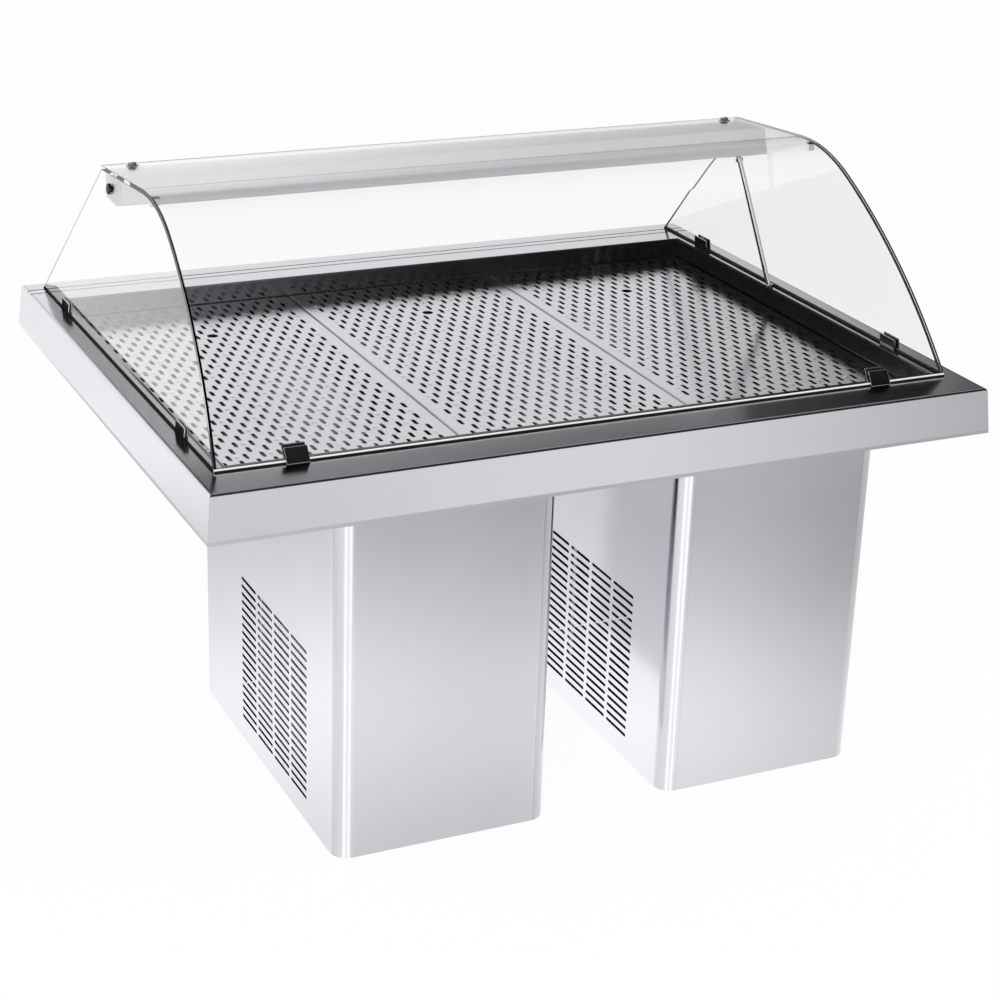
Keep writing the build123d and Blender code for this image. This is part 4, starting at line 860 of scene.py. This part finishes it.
# Floor, lamps and the studio round the counter
studio = {
    "floor": 14.0, "floorTone": 0.86, "cameraWhite": 0.96, "skyDiffuse": 0.72,
    # what metal sees, by height from straight down to straight up
    "rise": ((0.0, 0.75), (0.3306, 0.66), (0.3417, 0.84), (0.35, 0.88), (0.3583, 0.74), (0.3639, 0.66),
             (0.375, 0.52), (0.389, 0.54), (0.402, 0.98), (0.4167, 1.0), (0.5, 1.0), (0.628, 0.95),
             (0.65, 0.04), (0.683, 0.04), (0.71, 0.45), (0.79, 0.65), (0.88, 0.7), (0.95, 0.35), (1.0, 0.1)),
    # and by heading, from the front over the left, rear and right to the front again, in three bands that
    # part at two angles of height
    "lower": ((0.0, 1.05), (0.333, 1.05), (0.40, 1.33), (0.4275, 1.36), (0.439, 1.24), (0.46, 1.2),
              (0.52, 1.15), (0.62, 1.15), (0.86, 0.9), (0.9025, 0.78), (0.9144, 1.24), (0.9185, 1.2),
              (0.924, 0.80), (0.939, 1.08), (0.958, 1.15), (1.0, 1.05)),
    "parting": -17.0,
    "upper": ((0.0, 0.9), (0.333, 1.0), (0.465, 1.0), (0.5, 0.8), (0.532, 1.0), (0.55, 1.0), (0.583, 0.88),
              (0.594, 0.6), (0.6056, 0.05), (0.70, 0.05), (0.74, 0.6), (0.84, 0.6), (0.892, 0.36),
              (0.903, 0.62), (0.925, 0.95), (0.936, 0.85), (0.947, 0.72), (1.0, 0.9)),
    "highFrom": 33.0,
    "high": ((0.0, 0.9), (0.48, 0.9), (0.52, 0.6), (0.60, 0.5), (0.70, 0.5), (0.74, 0.03), (0.955, 0.03),
             (0.975, 0.9), (1.0, 0.9)),
    # in the lower band the wall to the front right also fades up and down
    "frontFade": ((0.3306, 0.93), (0.3417, 1.08), (0.35, 1.14), (0.3583, 1.08), (0.3639, 0.95),
                  (0.375, 0.80), (0.389, 0.80)),
    "frontFrom": 0.86,
    # upright strips of light from the front to the left, up to an angle of height
    "strips": ((0.0, 1.0), (0.0167, 1.3), (0.04, 1.1), (0.0639, 0.95), (0.09, 1.15), (0.111, 1.3),
               (0.13, 1.0), (0.15, 0.85), (0.333, 0.7), (0.36, 0.0), (0.97, 0.0), (0.985, 0.8), (1.0, 1.0)),
    "stripTop": 8.0,
    # what is left of the wall past a pane of glass
    "pastGlass": ((0.55, 1.0), (0.58, 0.14), (0.603, 0.02), (0.75, 0.1), (0.9, 1.0)),
    # and after a second mirror
    "again": ((0.0, 0.1), (0.05, 0.02), (0.93, 0.01), (0.944, 0.03), (0.955, 0.6), (0.985, 0.6), (1.0, 0.1)),
    "lamps": (  # place, aim, width and height, watts
        ((-2.2, -2.8, 3.6), (0, 0, 0.5), (2.6, 2.6), 80.0),
        ((2.8, -1.6, 3.4), (0, 0, 0.6), (2.2, 2.2), 30.0),
    ),
}


def buildFloor():
    bm = bmesh.new()
    bmesh.ops.create_grid(bm, x_segments=1, y_segments=1, size=studio["floor"])
    mesh = bpy.data.meshes.new("studio_floor")
    bm.to_mesh(mesh)
    bm.free()
    material, sheet = newFinish("paleFloor")
    camera, through = sheet.lightPath("Is Camera Ray", "Is Transmission Ray")
    matt = sheet.node("ShaderNodeBsdfDiffuse", None, {"Color": grey(studio["floorTone"])})
    white = sheet.node("ShaderNodeEmission", None, {"Color": grey(1.0)})
    share = camera.maths("MAXIMUM", camera, through) * studio["cameraWhite"]
    mixed = sheet.node("ShaderNodeMixShader", None, {0: share, 1: matt, 2: white})
    sheet.node("ShaderNodeOutputMaterial", None, {"Surface": mixed})
    mesh.materials.append(material)
    floor = bpy.data.objects.new("studio_floor", mesh)
    floor.visible_glossy = False  # metal sees the studio round it instead
    scene.collection.objects.link(floor)


def buildSky():
    sky = bpy.data.worlds.new("studioSky")
    scene.world = sky
    sky.cycles.sampling_method = "NONE"
    sheet = NodeSheet(sky)
    camera, through, depth = sheet.lightPath("Is Camera Ray", "Is Transmission Ray", "Glossy Depth")
    x, y, z = sheet.parts(sheet.node("ShaderNodeTexCoord"))  # the way a ray goes
    height = z.maths("ARCSINE", z) * (180 / math.pi)
    heading = x.maths("ARCTAN2", x, y) / (2 * math.pi) + 0.5
    climb = height / 180 + 0.5

    def byHeading(key):
        return sheet.ramp(heading, studio[key])

    below, lofty = height < studio["parting"], height > studio["highFrom"]
    between = (1 - below) * (1 - lofty)
    turn = byHeading("upper") * between + byHeading("lower") * below + byHeading("high") * lofty
    toFront = below * (heading > studio["frontFrom"])
    fading = 1 - toFront * (1 - sheet.ramp(climb, studio["frontFade"]))
    wall = sheet.ramp(climb, studio["rise"]) * turn * fading
    strips = byHeading("strips") * (height < studio["stripTop"])
    above = height > 0.0
    past = 1 - through * above * (1 - lofty) * (1 - byHeading("pastGlass"))
    twice = 1 - (depth > 1.5) * above * (1 - byHeading("again"))
    shown = wall.maths("MAXIMUM", wall, strips) * past * twice
    mirrored = depth > 0.5
    clear = camera.maths("MAXIMUM", camera, through)
    level = mirrored * shown + (1 - mirrored) * (clear + (1 - clear) * studio["skyDiffuse"])
    glow = sheet.node("ShaderNodeBackground", None, {"Color": level})
    sheet.node("ShaderNodeOutputWorld", None, {"Surface": glow})


def buildLamps():
    for number, (place, aim, (width, height), watts) in enumerate(studio["lamps"]):
        light = bpy.data.lights.new(f"soft_lamp_{number}", "AREA")
        light.shape, light.size, light.size_y, light.energy = "RECTANGLE", width, height, watts
        lamp = bpy.data.objects.new(light.name, light)
        lamp.location = place
        lamp.rotation_euler = (Vector(aim) - Vector(place)).to_track_quat("-Z", "Y").to_euler()
        lamp.visible_glossy = False
        lamp.visible_transmission = False
        lamp.visible_camera = False
        scene.collection.objects.link(lamp)


buildFloor()
buildSky()
buildLamps()


# Camera at the photograph's viewing angle
viewpoint = {"place": (-1.799, -3.843, 2.118), "yaw": 25.68, "pitch": 22.21, "roll": -2.0,
             "lens": 83.01, "sensor": 36.0, "far": 60.0}


def buildCamera():
    yaw, pitch, roll = (math.radians(viewpoint[key]) for key in ("yaw", "pitch", "roll"))
    ahead = Vector((math.sin(yaw) * math.cos(pitch), math.cos(yaw) * math.cos(pitch), -math.sin(pitch)))
    level = Vector((math.cos(yaw), -math.sin(yaw), 0))
    across = level * math.cos(roll) + ahead.cross(level) * math.sin(roll)
    turn = Matrix((across, (-ahead).cross(across), -ahead)).transposed().to_4x4()
    data = bpy.data.cameras.new("photo_camera")
    data.lens, data.sensor_width, data.clip_end = viewpoint["lens"], viewpoint["sensor"], viewpoint["far"]
    camera = bpy.data.objects.new("photo_camera", data)
    camera.matrix_world = Matrix.Translation(viewpoint["place"]) @ turn
    scene.collection.objects.link(camera)
    scene.camera = camera


buildCamera()
print("studio and camera set")
